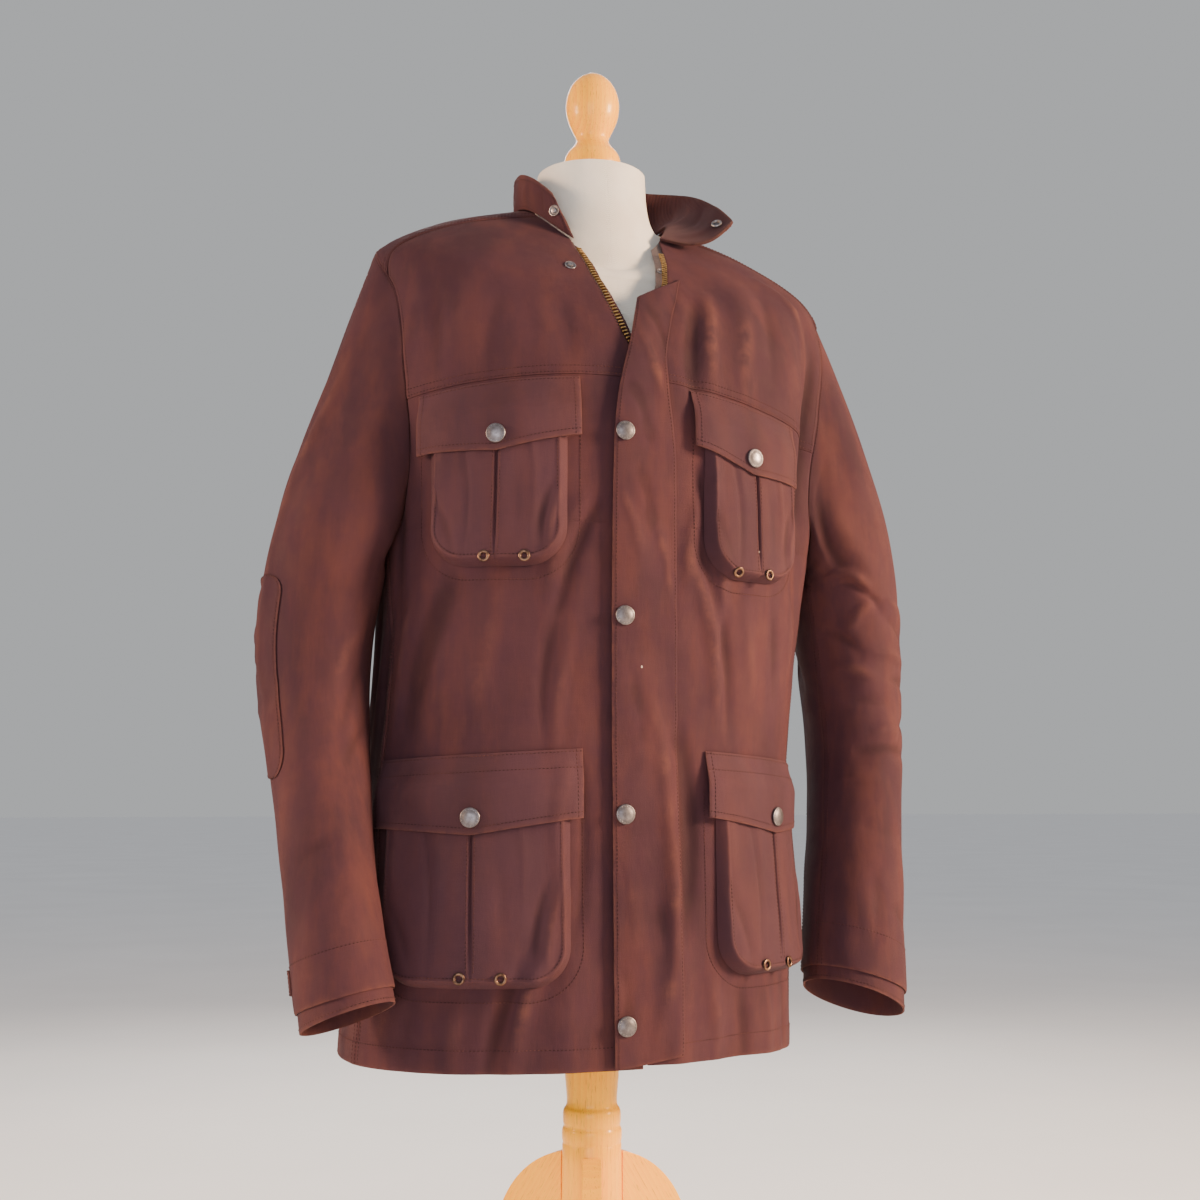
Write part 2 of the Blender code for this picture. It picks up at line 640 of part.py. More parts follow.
def sleeve_rings(side, table, lift):
    """Rings of a sleeve from the cuff up to the armhole, lift outside its inner face."""
    loop = np.array(armhole_loop())
    turn = sleeve_turns()
    height = (0.5 + 0.5 * np.sin(turn))[:, None]
    ahead = np.cos(turn)[:, None]
    cap = SLEEVE_CAPS[side]
    swell = side * (cap["swell"] + 0.02 * height)
    leave = unit(np.concatenate([swell, -0.06 * ahead, height - 1.9], axis=1))
    start = sleeve_head(side, loop, leave, lift)
    first = arm_ring(side, table, 0.0, turn, lift)
    arrive = unit(arm_ring(side, table, 0.3, turn, lift) - first)
    early = start + leave * (0.014 + cap["leave"] * height)
    late = first - arrive * (0.014 + cap["arrive"] * height)
    rings = [
        start * (1 - t) ** 3 + 3 * early * t * (1 - t) ** 2 + 3 * late * t**2 * (1 - t) + first * t**3
        for t in np.linspace(0.0, 1.0, CAP_RINGS + 1)[:-1]
    ]
    rings += [arm_ring(side, table, row, turn, lift) for row in arm_rows(table)]
    return np.array(rings)[::-1]


def sleeve_head(side, loop, leave, lift):
    """The sleeve's edge at the armhole. Its wall turns from lying beside the body's edge at
    the shoulder to lying over the body's outer face at the underarm."""
    angle, level = side * loop[:, 0], loop[:, 1]
    edge = body(angle, level)
    normal = body_normal(angle, level)
    along = unit(np.roll(edge, -1, axis=0) - np.roll(edge, 1, axis=0))
    away = unit(np.cross(normal, along))
    away *= np.sign(np.sum(away * (edge - edge.mean(axis=0)), axis=1))[:, None]
    ahead = -np.sum(leave * away, axis=1)[:, None]
    out = np.sum(leave * normal, axis=1)[:, None]
    size = np.maximum(np.hypot(ahead, out), 1e-9)
    ahead, out = ahead / size, out / size
    facing = normal * ahead + away * out
    facing = unit(facing - leave * np.sum(facing * leave, axis=1)[:, None])
    over = WALL / 2.0 + (WALL + GAP * 2.0) * np.maximum(-ahead, 0.0)
    beside = GAP + WALL / 2.0 * np.abs(out)
    return edge + normal * over - away * beside + facing * (lift - WALL / 2.0)


def arm_rows(table):
    return np.linspace(0.0, len(table) - 1.0, ARM_RINGS)


def ring_between(side, table, row, turn, lift):
    """A ring on the straight stretch between two neighbouring rings of the sleeve."""
    step = (len(table) - 1.0) / (ARM_RINGS - 1.0)
    if row > len(table) - 1.0:
        return arm_ring(side, table, row, turn, lift)
    low = min(math.floor(row / step), ARM_RINGS - 2) * step
    share = (row - low) / step
    start = arm_ring(side, table, low, turn, lift)
    return start + (arm_ring(side, table, low + step, turn, lift) - start) * share


def facing_out(grid, side):
    """Columns in the order that makes the outer face look out on either side."""
    return grid if side > 0 else grid[:, ::-1]


def nearest_turn(degrees):
    """The lengthwise line nearest a direction round the arm."""
    away = np.degrees(sleeve_turns()) - degrees
    return int(np.argmin(np.abs((away + 180.0) % 360.0 - 180.0)))


def parted(grid, first, last):
    """The columns from first round to last, drawn in by half a gap at both ends."""
    count = grid.shape[1]
    picked = [k % count for k in range(first, first + (last - first) % count + 1)]
    piece = grid[:, picked].copy()
    ends = unit(piece[:, 1] - piece[:, 0]), unit(piece[:, -2] - piece[:, -1])
    piece[:, 0] += ends[0] * GAP * 0.6
    piece[:, -1] += ends[1] * GAP * 0.6
    return piece


def sleeves(side, table, seams):
    """Top and under sleeve, meeting at two lengthwise seams."""
    word = {-1: "right", 1: "left"}[side]
    outer = sleeve_rings(side, table, WALL)
    inner = sleeve_rings(side, table, 0.0)
    front, back = nearest_turn(seams[0]), nearest_turn(seams[1])
    for part, first, last in (("sleeve_top_", front, back), ("sleeve_under_", back, front)):
        add_wall(
            part + word,
            facing_out(parted(outer, first, last), side),
            facing_out(parted(inner, first, last), side),
            "waxed_cotton",
        )


def sleeve_trim(side, table, patch, strap):
    """Elbow patch, inner cuff and cuff strap of one sleeve, on the sleeve's own lines."""
    word = {-1: "right", 1: "left"}[side]
    turns = sleeve_turns()

    def layer(rows, columns, lift):
        grid = [ring_between(side, table, row, turns[columns], lift) for row in rows]
        return facing_out(np.array(grid), side)

    def reach(trim):
        first = nearest_turn(trim["turn"] - trim["half"])
        last = nearest_turn(trim["turn"] + trim["half"])
        return [k % len(turns) for k in range(first, first + (last - first) % len(turns) + 1)]

    rows = [row for row in arm_rows(table)[::-1] if patch["high"] <= row <= patch["low"]]
    lifts = (WALL + CLOSE + PATCH_WALL, WALL + CLOSE)
    outer, inner = [layer(rows, reach(patch), lift) for lift in lifts]
    add_wall("elbow_patch_" + word, outer, inner, "waxed_cotton")

    last = len(table) - 1.0
    rows = [last + CUFF_DROP_ROWS, last, last - CUFF_RISE_ROWS]
    outer, inner = [layer(rows, list(range(len(turns))), lift) for lift in (-CLOSE, -CLOSE - WALL)]
    add_wall("cuff_" + word, outer, inner, "waxed_cotton", True)

    rows = np.linspace(strap["low"], strap["high"], 3)
    lifts = (WALL + CLOSE + STRAP_WALL, WALL + CLOSE)
    outer, inner = [layer(rows, reach(strap), lift) for lift in lifts]
    add_wall("cuff_strap_" + word, outer, inner, "waxed_cotton")


# --- Pockets, fly and fastenings -------------------------------------------------------


def angle_along(side, distance, level):
    """The angle reached distance metres round the body from the zip at a level."""
    start = float(angle_at(ZIP_X, np.array(float(level))))
    angles = start + side * np.linspace(0.0, 125.0, 126)
    points = body_base(angles, level)
    steps = np.linalg.norm(np.diff(points, axis=0), axis=1)
    return float(np.interp(distance, np.concatenate([[0.0], np.cumsum(steps)]), angles * side)) * side


def front_place(side, distance, z):
    """Angle and level of a place: round the body from the zip, and up from the floor."""
    level = level_at(z, side * 30.0)
    for _ in range(3):
        angle = angle_along(side, distance, level)
        level = level_at(z, angle)
    return angle, level


def pocket_place(pocket, distance, drop):
    """Angle and level drop metres below the top of a pocket's flap."""
    side, top, fall = pocket[1], pocket[4], pocket[6] * (distance - pocket[2])
    if top is not None:
        return front_place(side, distance, top - drop - fall)
    angle = angle_along(side, distance, CHEST_SEAM)
    seam = float(body_base(angle, CHEST_SEAM)[2])
    return front_place(side, distance, seam - FLAP_BELOW_SEAM - drop - fall * smooth(drop / pocket[5]))


def flap_grid(pocket, extra):
    """Points of a flap, its outer face where extra is the cloth and its inner where 0."""
    _, side, at, wide, _, drop, _, _, _, _, thin, _ = pocket
    across = np.array([0.0, 0.06, 0.2, 0.35, 0.5, 0.65, 0.8, 0.94, 1.0])
    down = np.array([1.0, 0.8, 0.6, 0.42, 0.28, 0.12, 0.0])
    grid = np.zeros((len(down), len(across), 3))
    for j, s in enumerate(across):
        longest = drop + FLAP_POINT * (1.0 - abs(2.0 * s - 1.0)) ** 1.2
        for i, t in enumerate(down):
            angle, level = pocket_place(pocket, at + wide * s, longest * t)
            stand = (thin + 2.0 * LAY + POCKET_WALL) * smooth(t * longest / MOUTH_BELOW_FLAP_TOP)
            stand *= 1.0 - 0.28 * abs(2.0 * s - 1.0) ** 5
            grid[i, j] = body(angle, level, WALL + LAY + stand + extra)
    return facing_out(grid, side)


def pouch_point(pocket, s, t, inset):
    """A point of a pouch: s runs -1 to 1 across, t 0 to 1 up, inset 0 is its outer face."""
    _, side, flap_at, _, top, _, droop, at, wide, lowest, thin, thick = pocket
    middle = at + wide / 2.0
    if top is None:
        angle = angle_along(side, middle, CHEST_SEAM)
        top = float(body_base(angle, CHEST_SEAM)[2]) - FLAP_BELOW_SEAM
    mouth = top - MOUTH_BELOW_FLAP_TOP
    half, corner = wide / 2.0 - inset, POUCH_CORNER - inset
    height = mouth - lowest - inset
    level_fall = droop * (middle - flap_at)
    up = height * t
    rounding = corner - math.sqrt(max(corner**2 - max(corner - up, 0.0) ** 2, 0.0))
    reach = half - rounding
    away = s * reach
    if up < corner and abs(away) > half - corner:
        edge = corner - math.hypot(abs(away) - (half - corner), corner - up)
    else:
        edge = min(half - abs(away), up)
    stand = (thick + (thin - thick) * t - inset) * smooth(edge / POUCH_EDGE) ** 0.7
    pleat = PLEAT_DEPTH * math.exp(-((s * half / 0.003) ** 2)) * smooth(2.5 * t + 0.2)
    fall = level_fall + droop * away * smooth(t)
    angle, level = front_place(side, middle + away, lowest + inset + up - fall)
    return body(angle, level, WALL + LAY + max(stand - pleat, 0.0))


POUCH_ACROSS = np.array([-1.0, -0.95, -0.85, -0.5, -0.06, 0.0, 0.06, 0.5, 0.85, 0.95, 1.0])
POUCH_UP = np.array([0.0, 0.03, 0.08, 0.17, 0.32, 0.65, 1.0])


def pouch_grid(pocket, inset):
    grid = np.array([[pouch_point(pocket, s, t, inset) for s in POUCH_ACROSS] for t in POUCH_UP])
    return facing_out(grid, pocket[1])


def on_pouch(grid, s, t):
    """The place and outward direction at s across and t up a pouch's outer grid."""
    column = int(np.searchsorted(POUCH_ACROSS, s)) - 1
    row = int(np.searchsorted(POUCH_UP, t)) - 1
    x = (s - POUCH_ACROSS[column]) / (POUCH_ACROSS[column + 1] - POUCH_ACROSS[column])
    y = (t - POUCH_UP[row]) / (POUCH_UP[row + 1] - POUCH_UP[row])
    low = grid[row, column] * (1.0 - x) + grid[row, column + 1] * x
    high = grid[row + 1, column] * (1.0 - x) + grid[row + 1, column + 1] * x
    right = grid[row, column + 1] - grid[row, column]
    return low * (1.0 - y) + high * y, unit(np.cross(right, high - low))


def add_ring(name, place, normal, radius, wire, finish):
    """A small round eyelet lying on a surface."""
    frame_x = unit(np.cross(normal, UP))
    frame_y = np.cross(normal, frame_x)
    around, section = 9, 4
    points = []
    for i in range(around):
        a = 2.0 * math.pi * i / around
        out = frame_x * math.cos(a) + frame_y * math.sin(a)
        for j in range(section):
            b = 2.0 * math.pi * j / section
            points.append(place + out * (radius + wire * math.cos(b)) + normal * wire * math.sin(b))
    faces = []
    for i in range(around):
        k = (i + 1) % around
        for j in range(section):
            m = (j + 1) % section
            faces.append((i * section + j, k * section + j, k * section + m, i * section + m))
    return add_object(name, points, faces, finish)


def add_cap(name, place, normal, radius, height, finish):
    """A domed snap cap standing on a surface."""
    frame_x = unit(np.cross(UP, normal))
    frame_y = np.cross(normal, frame_x)
    profile = [(0.0, 0.94), (0.35, 1.0), (0.85, 0.80), (0.8, 0.62), (1.0, 0.3)]
    around = 11
    points = []
    for rise, width in profile:
        for i in range(around):
            a = 2.0 * math.pi * i / around
            out = frame_x * math.cos(a) + frame_y * math.sin(a)
            points.append(place + out * radius * width + normal * height * rise)
    faces = []
    for row in range(len(profile) - 1):
        for i in range(around):
            k = (i + 1) % around
            a, b = row * around + i, row * around + k
            faces.append((a, b, b + around, a + around))
    faces.append(tuple(reversed(range(around))))
    last = (len(profile) - 1) * around
    faces.append(tuple(range(last, last + around)))
    return add_object(name, points, faces, finish)


def pockets():
    for pocket in POCKETS:
        name, side, at, wide, _, drop, _, _, wide_pouch, _, thin, _ = pocket
        outer = pouch_grid(pocket, 0.0)
        add_wall("pouch_" + name, outer, pouch_grid(pocket, POCKET_WALL), "waxed_cotton")
        add_wall("flap_" + name, flap_grid(pocket, WALL), flap_grid(pocket, 0.0), "waxed_cotton")
        down = drop + FLAP_POINT - CAP_ABOVE_POINT
        angle, level = pocket_place(pocket, at + wide / 2.0, down)
        stand = WALL + LAY + thin + 2.0 * LAY + POCKET_WALL + WALL + GAP
        normal = body_normal(angle, level)
        add_cap("cap_" + name, body(angle, level, stand), normal, CAP_RADIUS, CAP_HEIGHT, "dark_nickel")
        for number, shift in enumerate((-1.0, 1.0)):
            s = (shift * EYELET_SPACING - side * EYELET_SHIFT) / (wide_pouch / 2.0 - EYELET_INSET)
            place, out = on_pouch(outer, s, EYELET_HEIGHT)
            place = place + out * (EYELET_WIRE + CLOSE)
            add_ring(f"eyelet_{name}_{number + 1}", place, out, EYELET_RADIUS, EYELET_WIRE, "brass")


def strip(edges, lifts, columns):
    """Grid between two edges given as lists of (angle, level), lifts one pair a row."""
    share = np.linspace(0.0, 1.0, columns)
    rows = []
    for (left, right), (low, high) in zip(edges, lifts):
        angle = left[0] + (right[0] - left[0]) * share
        level = left[1] + (right[1] - left[1]) * share
        lift = low + (high - low) * smooth(share) ** 2
        rows.append(body(angle, level, lift))
    return np.array(rows)


def storm_fly():
    numbers = np.array(FLY, float)
    edges, lifts = [], []
    for row in np.linspace(0.0, len(FLY) - 1.0, FLY_ROWS):
        z_edge, x_edge, off_edge, z_seam, x_seam, off_seam = spline(numbers, np.array(row))
        edges.append((place_on_front(x_edge, z_edge), place_on_front(x_seam, z_seam)))
        lifts.append((WALL + off_edge, WALL + off_seam))
    inner = strip(edges, lifts, FLY_COLUMNS)
    outer = strip(edges, [(a + FLY_WALL, b + FLY_WALL) for a, b in lifts], FLY_COLUMNS)
    add_wall("storm_fly", outer, inner, "waxed_cotton")


def fly_point(x, z, above):
    """A point above the fly's outer face, x across and z up."""
    numbers = np.array(FLY, float)
    row = row_at(numbers[:, 0], z)
    _, x_edge, off_edge, _, x_seam, off_seam = spline(numbers, row)
    share = (x - x_edge) / (x_seam - x_edge)
    off = off_edge + (off_seam - off_edge) * smooth(share) ** 2
    angle, level = place_on_front(x, z)
    return body(angle, level, WALL + off + FLY_WALL + above), body_normal(angle, level)


def edge_at(level, side):
    """How far across a front's edge lies at a level."""
    levels = column_of(OPEN_EDGE, 0)
    if level <= levels[0]:
        return ZIP_X + side * ZIP_HALF
    return float(np.interp(level, levels, column_of(OPEN_EDGE, 1 if side < 0 else 2)))


def edge_strip(name, side, strip_size, finish):
    """A strip behind one front's edge, from near inside it to far past it. wider is how
    much more it passes the edge at the open neck."""
    near, far, wider, lift, wall = strip_size
    levels = np.concatenate([np.linspace(STRIP_LOW, OPEN_EDGE[0][0], 9), np.linspace(6.65, NECK, 9)])
    edges = []
    for level in levels:
        x = edge_at(level, side)
        past = far + wider * smooth((level - OPEN_EDGE[0][0]) / 2.5)
        places = [(float(angle_at(x - side * reach, np.array(level))), level) for reach in (near, past)]
        edges.append(tuple(sorted(places)))
    outer = strip(edges, [(lift, lift)] * len(levels), 3)
    inner = strip(edges, [(lift - wall, lift - wall)] * len(levels), 3)
    add_wall(name, outer, inner, finish)


def zip_slider():
    """The zip's plain slider body, on the fronts' edges under the fly."""
    angle, level = place_on_front(ZIP_X, SLIDER["z"])
    place = body(np.array(angle), np.array(level), np.array(WALL + GAP * 2.0))
    normal = body_normal(angle, level)
    right = unit(np.cross(UP, normal))
    up = np.cross(normal, right)
    points = []
    for rise, scale in ((0.0, 1.0), (0.6, 1.0), (1.0, 0.72)):
        for across, along in ((-0.7, -1.0), (0.7, -1.0), (1.0, 0.2), (0.8, 1.0), (-0.8, 1.0), (-1.0, 0.2)):
            shift = right * across * SLIDER["half"] * scale + up * along * SLIDER["long"] / 2.0 * scale
            points.append(place + shift + normal * rise * SLIDER["thick"])
    faces = [tuple(reversed(range(6))), tuple(range(12, 18))]
    for row in (0, 6):
        for j in range(6):
            k = (j + 1) % 6
            faces.append((row + j, row + k, row + 6 + k, row + 6 + j))
    add_object("zip_slider", points, faces, "brass")


def collar():
    """Stand collar round the neck, its corduroy facing, and a snap half on each end."""
    numbers = np.array(COLLAR, float)
    rows = np.linspace(0.0, len(COLLAR) - 1.0, COLLAR_COLUMNS)
    angle, left, back, up, bow, sag = np.moveaxis(spline(numbers, rows), -1, 0)
    top = np.stack([left, back, up], axis=-1)
    lean = np.hypot(left, back) / np.linalg.norm(top, axis=-1)
    foot = body(angle, NECK, WALL + COLLAR_LIFT + COLLAR_WALL * lean)
    out = foot - body_base(angle + 180.0, NECK)
    out[:, 2] = 0.0
    out = unit(out)
    rises = np.linspace(0.0, 1.0, COLLAR_ROWS)[:, None, None]
    arch = np.sin(np.pi * rises)
    middle = foot + top * rises + (out * bow[:, None] - UP * sag[:, None]) * arch
    # turned to run from the wearer's left front round the back, so that it faces out
    middle = middle[:, ::-1]
    away = grid_normals(middle, False)
    within = away * -FACING_GAP
    add_wall("collar", middle + away * COLLAR_WALL, middle, "waxed_cotton")
    add_wall("collar_facing", middle + within, middle + within - away * FACING_WALL, "corduroy")
    row, column = COLLAR_STUD_AT
    place = middle[row, column] + away[row, column] * (COLLAR_WALL + GAP)
    add_cap("collar_stud", place, away[row, column], STUD_RADIUS, STUD_HEIGHT, "dark_nickel")
    row, column = COLLAR_SOCKET_AT
    place = middle[row, column] - away[row, column] * (FACING_GAP + FACING_WALL + GAP * 3.0)
    add_cap("collar_socket", place, -away[row, column], STUD_RADIUS, STUD_HEIGHT, "dark_nickel")


def fastenings():
    storm_fly()
    for number, z in enumerate(PLACKET_SNAP_Z):
        place, normal = fly_point(SNAP_X, z, GAP * 1.5)
        add_cap(f"cap_fly_{number + 1}", place, normal, CAP_RADIUS, CAP_HEIGHT, "dark_nickel")
    edge_strip("zip_tape_right", -1, TAPE_RIGHT, "tape")
    edge_strip("zip_tape_left", 1, TAPE_LEFT, "tape")
    edge_strip("zip_guard", -1, GUARD, "waxed_cotton")
    zip_slider()
    angle, level = place_on_front(NECK_STUD["x"], NECK_STUD["z"])
    place = body(np.array(angle), np.array(level), np.array(WALL + GAP * 1.5))
    add_cap("neck_stud", place, body_normal(angle, level), STUD_RADIUS, STUD_HEIGHT, "dark_nickel")
    level = NECK_SOCKET["level"]
    angle = float(angle_at(edge_at(level, 1) - NECK_SOCKET["past_edge"], np.array(level)))
    place = body(np.array(angle), np.array(level), np.array(TAPE_LEFT[3] + GAP * 1.5))
    add_cap("neck_socket", place, body_normal(angle, level), SOCKET_RADIUS, SOCKET_HEIGHT, "dark_nickel")


# --- Stand and form --------------------------------------------------------------------


def add_turned(name, profile, foot, finish, segments=ROUND_SEGMENTS):
    """A solid of revolution on the column's axis from heights and radii."""
    turns = np.linspace(0.0, 2.0 * np.pi, segments, endpoint=False)
    points = []
    faces = []
    for height, radius in profile:
        for turn in turns:
            points.append((radius * math.cos(turn), radius * math.sin(turn), foot + height))
    for i in range(len(profile) - 1):
        for j in range(segments):
            k = (j + 1) % segments
            a, b = i * segments + j, i * segments + k
            faces.append((a, b, b + segments, a + segments))
    faces.append(tuple(reversed(range(segments))))
    last = (len(profile) - 1) * segments
    faces.append(tuple(range(last, last + segments)))
    return add_object(name, points, faces, finish)


def form_torso():
    """The form's padded bust and neck, bearing on the jacket's shoulders from within."""
    turns = np.linspace(0.0, 360.0, ROUND_SEGMENTS, endpoint=False)
    rings = []
    for z, half, front, back, middle in FORM:
        deep = np.where(np.cos(np.radians(turns)) > 0.0, front, back)
        x = half * np.sin(np.radians(turns))
        y = middle - deep * np.cos(np.radians(turns))
        rings.append(np.stack([x, y, np.full(len(turns), z)], axis=-1))
    front = smooth(np.cos(np.radians(turns)) * 1.6)[:, None]
    for level, tuck in FORM_SHOULDERS:
        clear = FORM_CLEARANCE + FORM_FRONT_TUCK * front
        ring = body_base(turns, level) - body_normal(turns, level) * clear
        rings.append(ring * np.array([tuck, tuck, 1.0]))
    for z, radius in ((1.2500, 0.0600), (1.2750, 0.0550), (NECK_TOP, NECK_RADIUS)):
        x = radius * np.sin(np.radians(turns))
        y = 0.004 - radius * np.cos(np.radians(turns))
        rings.append(np.stack([x, y, np.full(len(turns), z)], axis=-1))
    points = np.concatenate(rings)
    count = len(turns)
    faces = []
    for i in range(len(rings) - 1):
        for j in range(count):
            k = (j + 1) % count
            a, b = i * count + j, i * count + k
            faces.append((a, b, b + count, a + count))
    faces.append(tuple(reversed(range(count))))
    last = (len(rings) - 1) * count
    faces.append(tuple(range(last, last + count)))
    add_object("form_torso", points, faces, "jersey")


def leg_outline():
    arc = LEG_TOP_ARC
    outline = [(COLUMN_RADIUS + GAP, 0.3575)]
    for turn in np.radians(np.linspace(arc["from"], arc["to"], 9)):
        outline.append(
            (
                arc["middle_r"] + arc["radius"] * math.cos(turn),
                arc["middle_z"] + arc["radius"] * math.sin(turn),
            )
        )
    return outline + LEG_SWEEP


def legs():
    """Three curved boards, one forward and two back."""
    outline = leg_outline()
    count = len(outline)
    for number, word in enumerate(("front", "left", "right")):
        heading = math.radians(LEG_AZIMUTH + 120.0 * number)
        out = np.array([math.cos(heading), math.sin(heading)])
        across = np.array([-out[1], out[0]]) * LEG_THICKNESS / 2.0
        points = []
        for flip in (-1.0, 1.0):
            for r, z in outline:
                xy = out * r + across * flip
                points.append((xy[0], xy[1], z))
        faces = [tuple(reversed(range(count))), tuple(range(count, 2 * count))]
        for j in range(count):
            k = (j + 1) % count
            faces.append((j, k, k + count, j + count))
        add_object("leg_" + word, points, faces, "beech")


def stand():
    add_turned("column", COLUMN, 0.0, "beech")
    add_turned("finial", FINIAL, NECK_TOP + GAP, "beech")
    legs()
    form_torso()


def centre_on_footprint():
    """Move everything so that the whole object's box stands centred on the origin."""
    pieces = list(bpy.data.objects)
    points = np.array([tuple(point.co) for item in pieces for point in item.data.vertices])
    low, high = points.min(axis=0), points.max(axis=0)
    middle = (low + high) / 2.0
    for item in pieces:
        item.location = (-middle[0], -middle[1], -low[2])


clear_scene()
stand()
for side in (-1, 1):
    front_panels(side)
back_panel()
yoke_panel()
sleeves(-1, SLEEVE_RIGHT, SEAMS_RIGHT)
sleeves(1, SLEEVE_LEFT, SEAMS_LEFT)
sleeve_trim(-1, SLEEVE_RIGHT, PATCH_RIGHT, STRAP_RIGHT)
sleeve_trim(1, SLEEVE_LEFT, PATCH_LEFT, STRAP_LEFT)
pockets()
fastenings()
collar()
centre_on_footprint()
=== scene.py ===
import math

import bpy
import numpy as np
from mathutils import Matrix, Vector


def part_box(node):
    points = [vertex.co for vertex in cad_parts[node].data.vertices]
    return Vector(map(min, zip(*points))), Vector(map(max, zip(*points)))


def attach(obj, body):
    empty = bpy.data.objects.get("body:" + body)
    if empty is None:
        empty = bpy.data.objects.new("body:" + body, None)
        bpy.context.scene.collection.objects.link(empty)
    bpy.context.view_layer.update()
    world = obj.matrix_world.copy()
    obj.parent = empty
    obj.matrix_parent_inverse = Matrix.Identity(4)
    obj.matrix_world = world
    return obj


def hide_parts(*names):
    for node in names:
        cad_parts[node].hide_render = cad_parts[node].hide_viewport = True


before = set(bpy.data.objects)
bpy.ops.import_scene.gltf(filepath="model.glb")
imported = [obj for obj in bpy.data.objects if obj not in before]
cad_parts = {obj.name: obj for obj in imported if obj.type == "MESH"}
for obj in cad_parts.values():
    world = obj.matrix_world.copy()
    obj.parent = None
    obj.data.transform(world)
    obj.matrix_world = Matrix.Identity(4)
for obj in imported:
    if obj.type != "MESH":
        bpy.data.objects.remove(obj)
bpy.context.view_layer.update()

columnLow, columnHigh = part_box("column")
axisAt = np.array([(columnLow[0] + columnHigh[0]) / 2, (columnLow[1] + columnHigh[1]) / 2, 0.0])
up = np.array([0.0, 0.0, 1.0])

# cloth thicknesses and clearances, in metres; edges drop by so much over the distance "edge"
cloth = {
    "wall": 0.0016, "gap": 0.0003, "lay": 0.0011, "close": 0.00045, "pocketWall": 0.0014,
    "seamAngle": 0.045, "seamLevel": 0.0025, "edge": 0.0016, "weltFade": 0.0025, "fullCrease": 0.004,
    "frontDrop": 0.0004, "sleeveDrop": 0.0005, "drop": 0.0006, "thickDrop": 0.0008,
}

# the jacket's body, row by row from the hem to the neck
bodyRows = np.array([
    # zFront zSide   zBack   tilt    midX     midY   half    front   back    square
    (0.4545, 0.4545, 0.4540, 0.0000, -0.0240, 0.004, 0.2110, 0.1440, 0.1360, 2.35),  # hem
    (0.5610, 0.5570, 0.5610, 0.0000, -0.0205, 0.004, 0.2085, 0.1420, 0.1300, 2.35),  # skirt
    (0.6800, 0.6780, 0.6800, 0.0000, -0.0175, 0.002, 0.2040, 0.1390, 0.1240, 2.25),  # hip
    (0.8000, 0.8000, 0.8000, 0.0000, -0.0070, 0.000, 0.2040, 0.1370, 0.1200, 2.20),  # waist
    (0.9150, 0.9100, 0.9150, 0.0030, 0.0030, 0.000, 0.2100, 0.1390, 0.1220, 2.20),  # ribs
    (0.9950, 0.9740, 1.0050, 0.0080, 0.0060, 0.000, 0.2180, 0.1400, 0.1260, 2.20),  # bust
    (1.0640, 1.0270, 1.0750, 0.0130, 0.0080, 0.000, 0.2260, 0.1360, 0.1270, 2.20),  # chest seam
    (1.1080, 1.0910, 1.1320, 0.0110, 0.0110, 0.002, 0.2300, 0.1280, 0.1220, 2.20),  # upper chest
    (1.1430, 1.1490, 1.1800, 0.0080, 0.0115, 0.004, 0.2285, 0.1160, 0.1100, 2.20),  # collar bone
    (1.1700, 1.1955, 1.2220, 0.0072, 0.0035, 0.006, 0.2200, 0.1010, 0.0930, 2.15),  # shoulder
    (1.1900, 1.2345, 1.2535, 0.0045, 0.0000, 0.010, 0.1560, 0.0900, 0.0740, 2.10),  # mid shoulder
    (1.1990, 1.2610, 1.2765, 0.0020, 0.0010, 0.014, 0.0750, 0.0820, 0.0560, 2.00),  # neck
])
levels = {"underarm": 4.15, "chest": 6.0, "backYoke": 7.0, "yokeFront": 8.35, "shoulder": 9.0, "neck": 11.0}

# the largest folds: middle angle, lean, lowest and highest level, width in degrees, height
bodyFolds = [
    (14.5, -3.0, -0.5, 2.4, 3.6, 0.0060), (32.0, -2.0, -0.7, 0.7, 7.0, -0.0060),
    (-12.0, 2.0, -0.5, 1.6, 5.0, 0.0040), (88.0, 3.0, 0.5, 4.4, 7.0, -0.0060),
    (-84.0, -2.0, 0.2, 4.2, 9.0, -0.0050), (56.0, -3.0, 3.4, 8.6, 6.5, -0.0160),
    (30.0, 6.0, 6.3, 10.2, 6.0, 0.0030), (152.0, 4.0, -0.5, 4.2, 9.0, 0.0070),
    (181.0, -3.0, -0.5, 3.4, 8.0, -0.0060), (214.0, -5.0, -0.5, 4.6, 9.0, 0.0080),
    (132.0, 8.0, 4.4, 7.4, 8.0, -0.0040), (230.0, -8.0, 4.4, 7.4, 8.0, -0.0040),
]

